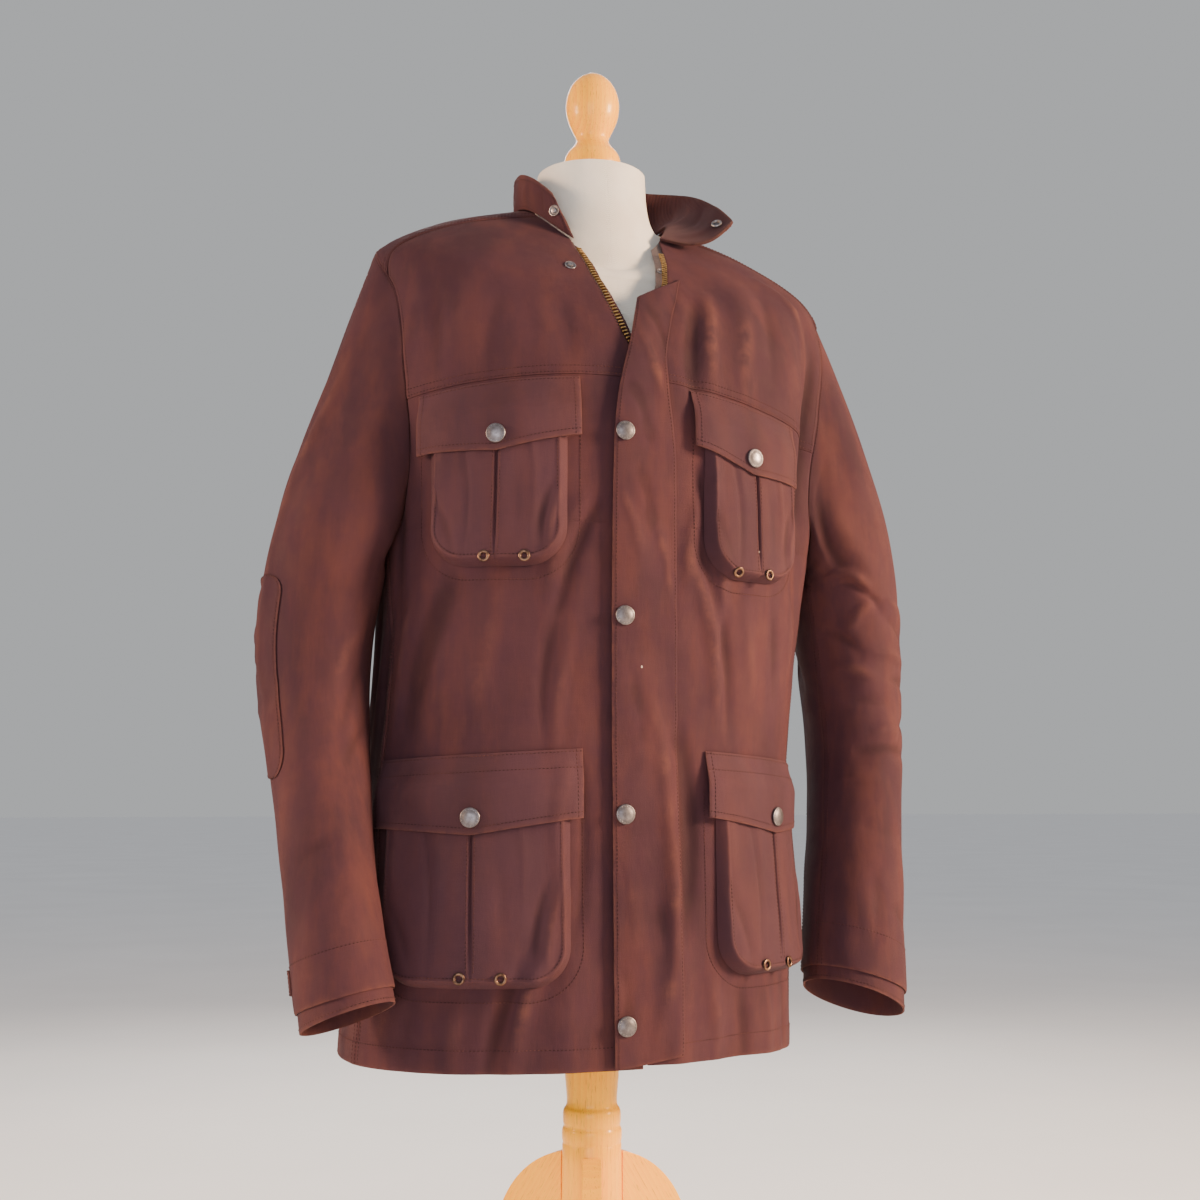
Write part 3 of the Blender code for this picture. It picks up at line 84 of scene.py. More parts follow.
# creases of the body: both ends as distance round from the centre front (wearer's left is
# plus) and height, then how wide and how high (a minus is a trough), in metres
bodyCreases = {
    "scale": 0.0031,  # metres round the body for each degree
    "gain": 1.25,
    "rows": [
        # fromU    fromZ  toU     toZ    wide    high
        # wearer's right front, between the pockets and beside the fly
        (-0.148, 0.885, -0.186, 0.748, 0.0150, -0.0030), (-0.105, 0.880, -0.120, 0.760, 0.0130, 0.0018),
        (-0.034, 0.950, -0.060, 0.850, 0.0060, -0.0026), (-0.046, 0.955, -0.072, 0.862, 0.0070, 0.0020),
        (-0.060, 0.860, -0.062, 0.735, 0.0065, -0.0020), (-0.048, 0.840, -0.050, 0.700, 0.0060, 0.0016),
        (-0.042, 0.735, -0.044, 0.600, 0.0055, 0.0018), (-0.036, 0.720, -0.034, 0.560, 0.0050, -0.0020),
        (-0.040, 0.600, -0.074, 0.455, 0.0080, 0.0030), (-0.060, 0.565, -0.092, 0.450, 0.0075, -0.0030),
        (-0.110, 0.530, -0.118, 0.450, 0.0090, 0.0015), (-0.150, 0.525, -0.160, 0.448, 0.0090, -0.0013),
        (-0.205, 1.020, -0.214, 0.855, 0.0090, -0.0028), (-0.190, 0.880, -0.205, 0.742, 0.0080, 0.0018),
        (-0.225, 0.860, -0.232, 0.700, 0.0080, -0.0020), (-0.080, 0.905, -0.135, 0.862, 0.0070, -0.0010),
        # wearer's right upper chest
        (-0.100, 1.150, -0.115, 1.070, 0.0080, -0.0012), (-0.082, 1.155, -0.072, 1.068, 0.0070, 0.0011),
        (-0.130, 1.165, -0.142, 1.075, 0.0090, 0.0012), (-0.165, 1.170, -0.160, 1.060, 0.0100, -0.0013),
        (-0.062, 1.140, -0.055, 1.075, 0.0060, -0.0009), (-0.186, 1.130, -0.196, 1.040, 0.0070, 0.0014),
        # wearer's left front, from the fly to the pockets
        (0.040, 0.905, 0.078, 0.760, 0.0065, 0.0030), (0.052, 0.900, 0.092, 0.745, 0.0060, -0.0026),
        (0.062, 0.930, 0.070, 0.820, 0.0055, 0.0022), (0.040, 0.990, 0.052, 0.900, 0.0055, -0.0022),
        (0.046, 0.960, 0.040, 0.875, 0.0050, 0.0016), (0.094, 0.870, 0.112, 0.762, 0.0080, 0.0018),
        (0.130, 0.872, 0.148, 0.770, 0.0070, -0.0018), (0.165, 0.880, 0.176, 0.790, 0.0070, 0.0018),
        (0.045, 0.745, 0.052, 0.560, 0.0085, -0.0042), (0.030, 0.720, 0.030, 0.470, 0.0060, 0.0022),
        (0.076, 0.530, 0.084, 0.452, 0.0070, 0.0024), (0.104, 0.520, 0.112, 0.450, 0.0070, -0.0020),
        (0.135, 0.522, 0.140, 0.450, 0.0080, 0.0020), (0.168, 0.530, 0.172, 0.450, 0.0070, -0.0016),
        # wearer's left upper chest, dragging from the neck and towards the arm
        (0.044, 1.150, 0.038, 1.050, 0.0060, -0.0040), (0.058, 1.160, 0.052, 1.060, 0.0070, 0.0030),
        (0.088, 1.165, 0.082, 1.060, 0.0090, 0.0018), (0.118, 1.175, 0.112, 1.070, 0.0080, -0.0016),
        (0.150, 1.190, 0.168, 1.060, 0.0070, 0.0030), (0.186, 1.120, 0.178, 0.960, 0.0070, -0.0030),
        (0.196, 1.060, 0.205, 0.930, 0.0070, 0.0020),
        # sides, hidden by the sleeves
        (0.235, 0.880, 0.255, 0.760, 0.0080, 0.0020), (0.270, 0.870, 0.262, 0.690, 0.0080, -0.0026),
        (0.240, 0.720, 0.252, 0.560, 0.0090, 0.0024), (-0.250, 0.850, -0.262, 0.690, 0.0080, 0.0022),
        (-0.272, 0.880, -0.280, 0.740, 0.0070, -0.0024), (-0.255, 0.660, -0.262, 0.500, 0.0080, -0.0020),
        # back: drags from the shoulder blades and long soft folds down the skirt
        (0.360, 1.080, 0.420, 1.000, 0.0080, 0.0018), (0.350, 1.040, 0.430, 0.950, 0.0080, -0.0022),
        (0.372, 0.960, 0.452, 0.880, 0.0090, 0.0020), (0.500, 1.070, 0.540, 0.960, 0.0100, -0.0014),
        (0.430, 0.850, 0.445, 0.640, 0.0100, -0.0028), (0.400, 0.760, 0.392, 0.560, 0.0090, 0.0026),
        (0.360, 0.820, 0.345, 0.660, 0.0080, -0.0022), (0.520, 0.780, 0.512, 0.560, 0.0110, 0.0024),
        (0.600, 0.840, 0.612, 0.650, 0.0100, -0.0026), (0.745, 1.075, 0.690, 0.990, 0.0080, -0.0020),
        (0.760, 1.020, 0.695, 0.940, 0.0080, 0.0018), (0.735, 0.930, 0.672, 0.850, 0.0090, -0.0018),
        (0.640, 0.720, 0.650, 0.540, 0.0090, 0.0024), (0.705, 0.840, 0.712, 0.640, 0.0090, 0.0022),
        (0.685, 0.700, 0.690, 0.520, 0.0080, -0.0026), (0.470, 0.600, 0.474, 0.450, 0.0080, -0.0022),
        (0.760, 0.800, 0.772, 0.610, 0.0080, -0.0022), (0.560, 0.640, 0.566, 0.450, 0.0090, -0.0018),
        (0.450, 1.190, 0.470, 1.130, 0.0090, 0.0012), (0.660, 1.190, 0.640, 1.130, 0.0090, -0.0012),
    ],
}

armhole = {"front": 25.0, "back": 30.0, "bottomShift": 9.0, "round": 2.3, "finer": 5}

# sleeves below their caps; rows as z, side, y, half, deep, outer, back
sleeveRight = {
    "word": "right", "side": -1, "swell": 0.28, "leave": 0.056, "arrive": 0.052, "seams": (-110.0, 175.0),
    "rows": np.array([
        (0.885, 0.2620, -0.010, 0.0530, 0.0640, 0.000, 0.000),
        (0.815, 0.2690, -0.008, 0.0500, 0.0600, 0.000, 0.000),
        (0.740, 0.2680, -0.030, 0.0450, 0.0550, 0.003, 0.000),
        (0.660, 0.2640, -0.062, 0.0400, 0.0510, 0.002, 0.000),
        (0.586, 0.2585, -0.088, 0.0385, 0.0490, -0.004, -0.004),
        (0.517, 0.2505, -0.108, 0.0395, 0.0470, -0.009, -0.012),
    ]),
    "elbow_patch": {"low": 2.5, "high": 0.0, "turn": 109.0, "half": 56.0},
    "cuff_strap": {"low": 4.72, "high": 4.46, "turn": 128.0, "half": 44.0},
    # creases: both ends as degrees round the arm (0 ahead, 90 outside) and row, wide, high
    "creases": [
        (62.0, -0.70, 68.0, 0.50, 0.0050, 0.0030), (68.0, 0.10, 70.0, 1.60, 0.0045, 0.0022),
        (88.0, -0.75, 110.0, -0.20, 0.0075, -0.0030), (95.0, -0.35, 128.0, 0.20, 0.0065, 0.0030),
        (92.0, 0.15, 132.0, 0.55, 0.0060, -0.0032), (96.0, 0.70, 135.0, 1.05, 0.0060, 0.0026),
        (90.0, 1.15, 128.0, 1.45, 0.0055, -0.0024), (100.0, 1.70, 138.0, 2.05, 0.0055, 0.0020),
        (58.0, 1.60, 82.0, 2.60, 0.0070, 0.0024), (50.0, 1.35, 74.0, 2.30, 0.0065, -0.0020),
        (-40.0, 0.70, -8.0, 1.50, 0.0080, 0.0016), (-52.0, 1.10, -18.0, 1.95, 0.0070, -0.0018),
        (-60.0, 1.80, -20.0, 2.30, 0.0060, -0.0016), (-5.0, 3.05, 48.0, 3.40, 0.0070, -0.0018),
        (-20.0, 3.60, 10.0, 4.10, 0.0070, 0.0012), (30.0, 3.70, 50.0, 4.60, 0.0080, 0.0010),
        (150.0, 0.30, 205.0, 0.90, 0.0070, -0.0030), (160.0, 0.85, 215.0, 1.25, 0.0070, 0.0028),
        (150.0, 1.50, 210.0, 1.75, 0.0060, -0.0026), (165.0, 2.30, 215.0, 2.80, 0.0070, 0.0020),
        (170.0, -0.60, 190.0, -0.05, 0.0090, -0.0022), (225.0, 0.60, 262.0, 1.20, 0.0065, -0.0028),
        (230.0, 1.30, 268.0, 1.70, 0.0060, 0.0022), (140.0, 3.30, 200.0, 3.70, 0.0070, -0.0016),
    ],
}
sleeveLeft = {
    "word": "left", "side": 1, "swell": 0.38, "leave": 0.088, "arrive": 0.085, "seams": (-70.0, 232.0),
    "rows": np.array([
        (0.885, 0.2670, -0.004, 0.0505, 0.0630, 0.000, 0.000),
        (0.815, 0.2770, 0.004, 0.0480, 0.0600, 0.000, 0.000),
        (0.740, 0.2760, -0.006, 0.0435, 0.0560, 0.003, 0.000),
        (0.660, 0.2660, -0.022, 0.0430, 0.0530, 0.002, 0.000),
        (0.586, 0.2575, -0.034, 0.0455, 0.0510, -0.005, -0.004),
        (0.510, 0.2520, -0.043, 0.0480, 0.0500, -0.016, -0.010),
    ]),
    "elbow_patch": {"low": 2.5, "high": 0.0, "turn": 166.0, "half": 56.0},
    "cuff_strap": {"low": 4.72, "high": 4.46, "turn": 150.0, "half": 44.0},
    "creases": [
        (-10.0, -0.85, -22.0, -0.20, 0.0080, -0.0034), (8.0, -0.80, 4.0, -0.10, 0.0090, 0.0024),
        (-38.0, -0.30, -2.0, 0.05, 0.0060, 0.0036), (-30.0, -0.12, 10.0, 0.30, 0.0055, -0.0034),
        (0.0, 0.15, -30.0, 0.60, 0.0060, 0.0028), (20.0, 0.05, 60.0, 0.50, 0.0065, 0.0024),
        (10.0, 0.35, 58.0, 0.72, 0.0060, -0.0026), (-55.0, 0.55, -15.0, 0.85, 0.0060, -0.0026),
        (-5.0, 0.80, 52.0, 0.95, 0.0060, 0.0024), (-50.0, 1.00, 0.0, 1.15, 0.0060, 0.0020),
        (15.0, 1.15, 66.0, 1.30, 0.0055, -0.0022), (-40.0, 1.45, 20.0, 1.55, 0.0055, -0.0018),
        (-10.0, 1.85, 50.0, 1.92, 0.0060, 0.0026), (-30.0, 2.08, 62.0, 2.20, 0.0060, -0.0030),
        (30.0, 1.95, 82.0, 1.70, 0.0055, -0.0028), (-50.0, 2.40, 10.0, 2.50, 0.0060, 0.0018),
        (-20.0, 3.00, 40.0, 3.25, 0.0080, -0.0014), (40.0, 3.30, 55.0, 4.30, 0.0080, 0.0014),
        (-5.0, 3.60, 0.0, 4.50, 0.0080, -0.0013), (20.0, 4.05, 60.0, 4.30, 0.0070, -0.0016),
        (110.0, 0.20, 165.0, 0.75, 0.0070, -0.0028), (120.0, 0.80, 190.0, 1.10, 0.0065, 0.0026),
        (115.0, 1.40, 180.0, 1.60, 0.0060, -0.0026), (130.0, 2.20, 190.0, 2.60, 0.0070, 0.0020),
        (100.0, -0.70, 112.0, -0.05, 0.0080, -0.0020), (225.0, 0.70, 262.0, 1.25, 0.0065, -0.0026),
        (120.0, 3.20, 180.0, 3.60, 0.0070, -0.0018),
    ],
}

pocketColumns = (
    "name", "side", "flapAt", "flapWide", "flapTop", "flapDrop", "droop",
    "pouchAt", "pouchWide", "lowest", "thinTop", "thinLow",
)
pockets = [dict(zip(pocketColumns, row)) for row in (
    ("chest_right", -1, 0.0580, 0.1480, None, 0.0550, 0.000, 0.0700, 0.1240, 0.8890, 0.0040, 0.0120),
    ("chest_left", 1, 0.0480, 0.1200, None, 0.0530, 0.045, 0.0600, 0.1080, 0.8870, 0.0040, 0.0120),
    ("hip_right", -1, 0.0560, 0.1900, 0.7290, 0.0600, 0.055, 0.0670, 0.1680, 0.5300, 0.0045, 0.0130),
    ("hip_left", 1, 0.0610, 0.1620, 0.7280, 0.0590, 0.060, 0.0720, 0.1400, 0.5330, 0.0045, 0.0130),
)]
pocketCut = {
    "point": 0.0100, "belowSeam": 0.0030, "mouth": 0.0300, "corner": 0.0360, "edge": 0.0078,
    "pleatDeep": 0.0032, "pleatWide": 0.0013, "capAbovePoint": 0.0150, "outerStitch": 0.0115,
    "faceStitch": 0.0094, "lipStitch": 0.0032, "lip": 0.0026, "lipRub": 0.0008, "rimRub": 0.0013,
    "rimHigh": 0.0007, "rimWide": 0.0016, "creaseFade": 0.009, "ripple": 0.0004,
}
eyelet = {"radius": 0.0040, "wire": 0.0011, "spacing": 0.0140, "shift": 0.0070, "up": 0.055, "inset": 0.0220}
# small creases of the pouches: across (-1 to 1), up (0 to 1), again for the other end, wide, high
pouchCreases = [
    (-0.55, 0.95, -0.42, 0.10, 0.0028, -0.0011), (0.42, 0.97, 0.50, 0.30, 0.0028, 0.0010),
    (0.78, 0.55, 0.62, 0.12, 0.0050, -0.0016), (0.90, 0.52, 0.74, 0.10, 0.0040, 0.0016),
    (-0.88, 0.45, -0.58, 0.08, 0.0045, -0.0012), (-0.25, 0.90, -0.30, 0.55, 0.0060, 0.0009),
    (0.22, 0.70, 0.30, 0.20, 0.0060, -0.0008), (-0.75, 0.92, -0.80, 0.50, 0.0060, 0.0012),
]

fly = {
    "rows": np.array([
        # zEdge edgeX   edgeOff zSeam   seamX   seamOff
        (0.4540, -0.0255, 0.0046, 0.4640, 0.0380, 0.0010), (0.6000, -0.0260, 0.0042, 0.6000, 0.0370, 0.0010),
        (0.7600, -0.0265, 0.0042, 0.7600, 0.0360, 0.0010), (0.9000, -0.0265, 0.0042, 0.9000, 0.0350, 0.0010),
        (0.9850, -0.0255, 0.0046, 0.9950, 0.0340, 0.0010), (1.0300, -0.0230, 0.0052, 1.0450, 0.0300, 0.0010),
        (1.0650, -0.0165, 0.0056, 1.0850, 0.0290, 0.0010), (1.0950, -0.0075, 0.0052, 1.1200, 0.0370, 0.0010),
        (1.1220, 0.0000, 0.0044, 1.1500, 0.0480, 0.0010), (1.1450, 0.0070, 0.0030, 1.1760, 0.0590, 0.0010),
    ]),
    "wall": 0.0022, "snapX": -0.0155, "snapZ": [1.0120, 0.8465, 0.6720, 0.4918], "columns": 26, "lines": 210,
    # puckers: across, height, again for the other end, wide, high
    "creases": [
        (-0.020, 0.960, 0.000, 0.900, 0.0050, 0.0014), (-0.004, 0.985, 0.012, 0.915, 0.0055, -0.0014),
        (0.014, 0.930, 0.030, 0.860, 0.0050, 0.0012), (-0.012, 0.800, 0.002, 0.735, 0.0055, -0.0010),
        (0.006, 0.780, 0.024, 0.700, 0.0060, 0.0011), (-0.018, 0.640, -0.006, 0.560, 0.0060, 0.0010),
        (0.010, 0.610, 0.024, 0.530, 0.0060, -0.0010), (-0.010, 1.060, 0.010, 1.000, 0.0060, -0.0012),
        (0.002, 1.110, 0.022, 1.040, 0.0055, 0.0014), (0.014, 1.135, 0.034, 1.070, 0.0050, -0.0012),
        (-0.022, 0.545, -0.014, 0.480, 0.0060, -0.0010),
    ],
}
zipLine = {
    "x": 0.004, "half": 0.0022, "low": 0.11, "hemRise": 0.10,
    # strips behind the edges: inside the edge, past it, further at the neck, lift, wall
    "zip_tape_right": (-1, -0.0110, 0.0015, 0.0015, -0.0008, 0.0010),
    "zip_tape_left": (1, -0.0110, 0.0015, 0.0100, -0.0008, 0.0010),
    "zip_guard": (-1, -0.0120, 0.0110, 0.0000, -0.0024, 0.0014),
}
openEdge = np.array([
    # level right    left
    (6.30, 0.0010, 0.0070), (7.00, -0.0116, 0.0195), (8.00, -0.0235, 0.0340),
    (9.00, -0.0320, 0.0450), (10.00, -0.0365, 0.0510), (11.00, -0.0400, 0.0550),
])

collarShape = {
    "rows": np.array([
        # angle  left     back     up      bow    sag
        (-31.0, -0.0190, 0.0050, 0.0440, 0.002, 0.000), (-52.0, -0.0090, 0.0040, 0.0400, 0.002, 0.000),
        (-90.0, 0.0000, 0.0020, 0.0350, 0.001, 0.000), (-140.0, 0.0010, 0.0050, 0.0430, 0.000, 0.000),
        (-180.0, 0.0000, 0.0060, 0.0490, 0.000, 0.000), (-225.0, 0.0050, 0.0040, 0.0490, 0.001, 0.000),
        (-262.0, 0.0150, -0.0020, 0.0430, 0.004, 0.000), (-290.0, 0.0440, -0.0120, 0.0260, 0.006, 0.004),
        (-315.0, 0.0740, -0.0200, 0.0150, 0.006, 0.012),
    ]),
    "wall": 0.0015, "lift": 0.0011, "facingWall": 0.0018, "facingGap": 0.00045,
    "around": 130, "rises": 30, "long": 0.52, "high": 0.046, "cornerCut": 0.10, "cornerShare": 0.035,
    # creases: share round from the wearer's left tip, share up, again, wide, high
    "creases": [
        (0.03, 0.10, 0.10, 0.95, 0.0045, -0.0014), (0.07, 0.05, 0.15, 0.90, 0.0050, 0.0015),
        (0.12, 0.02, 0.20, 0.85, 0.0045, -0.0014), (0.18, 0.00, 0.26, 0.80, 0.0055, 0.0012),
        (0.30, 0.10, 0.34, 0.90, 0.0070, -0.0010), (0.42, 0.20, 0.55, 0.40, 0.0060, 0.0010),
        (0.62, 0.70, 0.72, 0.30, 0.0060, -0.0011), (0.80, 0.20, 0.84, 0.90, 0.0050, 0.0012),
        (0.87, 0.10, 0.90, 0.85, 0.0045, -0.0015), (0.93, 0.60, 0.97, 0.15, 0.0040, 0.0011),
    ],
}

capShape = {"radius": 0.0088, "height": 0.0036, "around": 44}
studShape = {"radius": 0.0055, "height": 0.0022, "around": 32}
neckSocketShape = {"radius": 0.0040, "height": 0.0012, "around": 32}
neckSnaps = {"studX": -0.0500, "studZ": 1.1790, "socketLevel": 9.75, "socketIn": 0.0062}

formShape = {
    "rows": [  # z, half, front, back, midY
        (0.6150, 0.1500, 0.1020, 0.0930, 0.004), (0.6900, 0.1620, 0.1120, 0.1000, 0.004),
        (0.8200, 0.1480, 0.1030, 0.0900, 0.002), (0.9500, 0.1630, 0.1130, 0.1000, 0.000),
        (1.0500, 0.1720, 0.1150, 0.1060, 0.000), (1.1150, 0.1680, 0.1040, 0.1040, 0.002),
    ],
    "shoulders": [(9.40, 0.930), (9.75, 0.990), (10.15, 1.000), (10.55, 0.990), (10.85, 0.930)],
    "clearance": 0.0013, "frontTuck": 0.0075,
    "neck": [(1.2500, 0.0600), (1.2750, 0.0550), (1.3050, 0.0540)],
}
finialShape = {
    "foot": 1.3053,
    "profile": [
        (0.0000, 0.0255), (0.0060, 0.0282), (0.0150, 0.0288), (0.0235, 0.0262),
        (0.0305, 0.0200), (0.0360, 0.0163), (0.0410, 0.0162), (0.0485, 0.0200),
        (0.0600, 0.0252), (0.0720, 0.0272), (0.0840, 0.0262), (0.0960, 0.0215),
        (0.1040, 0.0140), (0.1085, 0.0060),
    ],
}
columnShape = [  # height, radius
    (0.1600, 0.0280), (0.3650, 0.0280), (0.3670, 0.0270), (0.3710, 0.0281),
    (0.3790, 0.0281), (0.3825, 0.0262), (0.3860, 0.0272), (0.3970, 0.0272),
    (0.4010, 0.0232), (0.4160, 0.0242), (0.4340, 0.0260), (0.6146, 0.0260),
]
legShape = {
    "thick": 0.018, "heading": -107.5, "bevel": 0.0022, "top": (0.0283, 0.3575), "grainLean": 58.0,
    "arc": {"r": 0.008, "z": 0.266, "radius": 0.0935, "from": 77.0, "to": 8.0, "steps": 25},
    "sweep": [
        (0.1060, 0.2300), (0.1200, 0.1750), (0.1450, 0.1150), (0.1800, 0.0640), (0.2150, 0.0360),
        (0.2500, 0.0220), (0.2640, 0.0100), (0.2650, 0.0000), (0.2250, 0.0000), (0.1900, 0.0180),
        (0.1450, 0.0480), (0.1050, 0.0950), (0.0750, 0.1450), (0.0283, 0.1700),
    ],
}


# numbers and surfaces

def spline(values, at):
    values = np.asarray(values, float)
    last = len(values) - 1
    at = np.clip(np.asarray(at, float), 0.0, last)
    low = np.clip(np.floor(at).astype(int), 0, last - 1)
    f = at - low
    before, start = values[np.clip(low - 1, 0, last)], values[low]
    end, after = values[low + 1], values[np.clip(low + 2, 0, last)]
    f = f.reshape(f.shape + (1,) * (start.ndim - f.ndim))
    return 0.5 * (
        2.0 * start + (end - before) * f
        + (2.0 * before - 5.0 * start + 4.0 * end - after) * f**2
        + (3.0 * start - before - 3.0 * end + after) * f**3
    )


def unit(vectors):
    return vectors / np.maximum(np.linalg.norm(vectors, axis=-1, keepdims=True), 1e-12)


def smooth(value):
    value = np.clip(value, 0.0, 1.0)
    return value * value * (3.0 - 2.0 * value)


def creaseHeight(u, v, rows):
    # sum of soft ridges and troughs along straight runs, fading out at their ends
    height = np.zeros(np.broadcast(u, v).shape)
    for fromU, fromV, toU, toV, wide, high in rows:
        alongU, alongV = toU - fromU, toV - fromV
        length = math.hypot(alongU, alongV)
        share = ((u - fromU) * alongU + (v - fromV) * alongV) / length**2
        away = ((u - fromU) * alongV - (v - fromV) * alongU) / length
        away = away + 0.10 * length * np.sin(math.pi * np.clip(share, 0, 1)) * math.copysign(0.5, alongU)
        ends = np.sin(math.pi * np.clip(0.06 + 0.88 * share, 0.0, 1.0)) ** 0.7
        ends = ends * ((share > -0.068) & (share < 1.068))
        height = height + high * ends * np.exp(-((away / wide) ** 2))
    return height


def unevenness(u, v, amount):
    # the slight waviness of cloth that lies on nothing
    waves = np.sin(u * 61.0 + 1.3 * np.sin(v * 23.0)) * np.sin(v * 37.0 + 1.7 * np.sin(u * 29.0))
    waves = waves + 0.5 * np.sin(u * 117.0 + v * 41.0 + 2.0) * np.sin(v * 71.0 - u * 31.0)
    return amount * waves


def foldHeight(angle, level):
    height = np.zeros(np.broadcast(angle, level).shape)
    for middle, lean, low, high, width, rise in bodyFolds:
        along = (level - low) / (high - low)
        ends = np.sin(np.pi * np.clip(along, 0.0, 1.0)) ** 0.8
        away = (angle - middle - lean * (along - 0.5) + 180.0) % 360.0 - 180.0
        height = height + rise * ends * np.exp(-((away / width) ** 2))
    return height


def bodyBase(angle, level):
    angle, level = np.broadcast_arrays(np.asarray(angle, float), np.asarray(level, float))
    columns = np.moveaxis(spline(bodyRows, level), -1, 0)
    zFront, zSide, zBack, tilt, midX, midY, half, front, back, square = columns
    across, ahead = np.sin(np.radians(angle)), np.cos(np.radians(angle))
    reach = (np.abs(across) ** square + np.abs(ahead) ** square) ** (-1.0 / square)
    deep = np.where(ahead > 0.0, front, back)
    zEnd = np.where(ahead > 0.0, zFront, zBack)
    return np.stack([
        midX + half * across * reach,
        midY - deep * ahead * reach,
        zSide + (zEnd - zSide) * ahead**2 - tilt * across,
    ], axis=-1)


def bodyNormal(angle, level):
    angle, level = np.broadcast_arrays(np.asarray(angle, float), np.asarray(level, float))
    along = bodyBase(angle + 0.6, level) - bodyBase(angle - 0.6, level)
    rise = bodyBase(angle, np.minimum(level + 0.03, 11.0)) - bodyBase(angle, np.maximum(level - 0.03, 0.0))
    return unit(np.cross(along, rise))


def bodyCrease(angle, level):
    # signed height of the fine creases; the table's back rows run on past the side
    z = bodyBase(angle, level)[..., 2]
    u = np.asarray(angle, float) * bodyCreases["scale"]
    whole = 360.0 * bodyCreases["scale"]
    height = creaseHeight(u, z, bodyCreases["rows"]) + creaseHeight(u - whole, z, bodyCreases["rows"])
    height = height + creaseHeight(u + whole, z, bodyCreases["rows"])
    calm = smooth((11.0 - np.asarray(level)) / 1.6)
    return (bodyCreases["gain"] * height + unevenness(u, z, 0.00040)) * calm


def skin(angle, level, lift=0.0):
    rise = foldHeight(angle, level) + bodyCrease(angle, level) + lift
    return bodyBase(angle, level) + bodyNormal(angle, level) * np.asarray(rise)[..., None]


def angleAt(x, level):
    row = spline(bodyRows, level)
    midX, half, square = row[..., 4], row[..., 6], row[..., 9]
    part = np.clip((x - midX) / half, -0.998, 0.998)
    ahead = (1.0 - np.abs(part) ** square) ** (1.0 / square)
    return np.degrees(np.arctan2(part, ahead))


def makeChart():
    # tables that turn distance round the front (or x across) and height into angle and level
    level = np.linspace(0.0, 11.0, 177)
    angle = np.linspace(-130.0, 130.0, 261)
    grid = bodyBase(angle[None, :], level[:, None])
    steps = np.linalg.norm(np.diff(grid, axis=1), axis=2)
    run = np.concatenate([np.zeros((len(level), 1)), np.cumsum(steps, axis=1)], axis=1)
    zipAngle = angleAt(zipLine["x"], level)
    run -= np.array([np.interp(a, angle, r) for a, r in zip(zipAngle, run)])[:, None]
    heights = np.linspace(0.440, 1.200, 191)
    levelOf = np.array([np.interp(heights, grid[:, j, 2], level) for j in range(len(angle))]).T
    runOf = np.array([np.interp(levelOf[:, j], level, run[:, j]) for j in range(len(angle))]).T
    acrossOf = np.array([np.interp(levelOf[:, j], level, grid[:, j, 0]) for j in range(len(angle))]).T
    reach = np.linspace(-0.36, 0.36, 289)
    ahead = np.abs(angle) < 84.0
    chart = {"heights": heights, "reach": reach}
    for word, table, use in (("run", runOf, angle < 999), ("x", acrossOf, ahead)):
        angles = np.array([np.interp(reach, row[use], angle[use]) for row in table])
        chart[word] = (angles, np.array([np.interp(a, angle, row) for a, row in zip(angles, levelOf)]))
    chart["seamRun"] = np.array([np.interp(6.0, level, run[:, j]) for j in range(len(angle))])
    chart["seamZ"] = np.array([np.interp(6.0, level, grid[:, j, 2]) for j in range(len(angle))])
    return chart


def lookUp(tables, across, height):
    column = np.clip((across - chart["reach"][0]) / (chart["reach"][1] - chart["reach"][0]), 0, 287.999)
    row = np.clip((height - chart["heights"][0]) / (chart["heights"][1] - chart["heights"][0]), 0, 189.999)
    column, row = np.broadcast_arrays(column, row)
    i, j = np.floor(row).astype(int), np.floor(column).astype(int)
    y, x = row - i, column - j
    return [
        t[i, j] * (1 - x) * (1 - y) + t[i, j + 1] * x * (1 - y) + t[i + 1, j] * (1 - x) * y
        + t[i + 1, j + 1] * x * y
        for t in tables
    ]


chart = makeChart()


def frontPlace(side, distance, z):
    return lookUp(chart["run"], side * np.asarray(distance, float), np.asarray(z, float))


def placeOnFront(x, z):
    return lookUp(chart["x"], np.asarray(x, float), np.asarray(z, float))


# meshes

made = {}


def makeObject(name, points, faces, look, sharp=42.0, values=None):
    # a piece that stands for a solid replaces it, and has "fine_" before the solid's name
    replacing = name in bpy.data.objects
    title = "fine_" + name if replacing else name
    mesh = bpy.data.meshes.new(title)
    mesh.from_pydata((np.asarray(points) + axisAt).tolist(), [], faces)
    for key, column in (values or {}).items():
        vector = column.ndim == 2
        store = mesh.attributes.new(key, "FLOAT_VECTOR" if vector else "FLOAT", "POINT")
        store.data.foreach_set("vector" if vector else "value", column.ravel())
    mesh.materials.append(finish[look])
    mesh.shade_smooth()
    mesh.set_sharp_from_angle(angle=math.radians(sharp))
    piece = made[name] = bpy.data.objects.new(title, mesh)
    bpy.context.scene.collection.objects.link(piece)
    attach(piece, "root")
    if replacing:
        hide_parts(name)
    return piece


def wallFaces(rows, columns, closed):
    index = np.arange(rows * columns).reshape(rows, columns)
    right = np.roll(index, -1, axis=1) if closed else index[:, 1:]
    left = index if closed else index[:, :-1]
    inner = rows * columns
    quads = np.stack([left[:-1], right[:-1], right[1:], left[1:]], axis=-1).reshape(-1, 4)
    faces = [quads, quads[:, ::-1] + inner]
    for row, turn in ((0, 1), (rows - 1, -1)):
        rim = np.stack([left[row], left[row] + inner, right[row] + inner, right[row]], axis=-1)
        faces.append(rim[:, ::turn])
    if not closed:
        for column, turn in ((0, 1), (columns - 1, -1)):
            low, high = index[:-1, column], index[1:, column]
            faces.append(np.stack([low, high, high + inner, low + inner], axis=-1)[:, ::turn])
    return np.concatenate(faces).tolist()


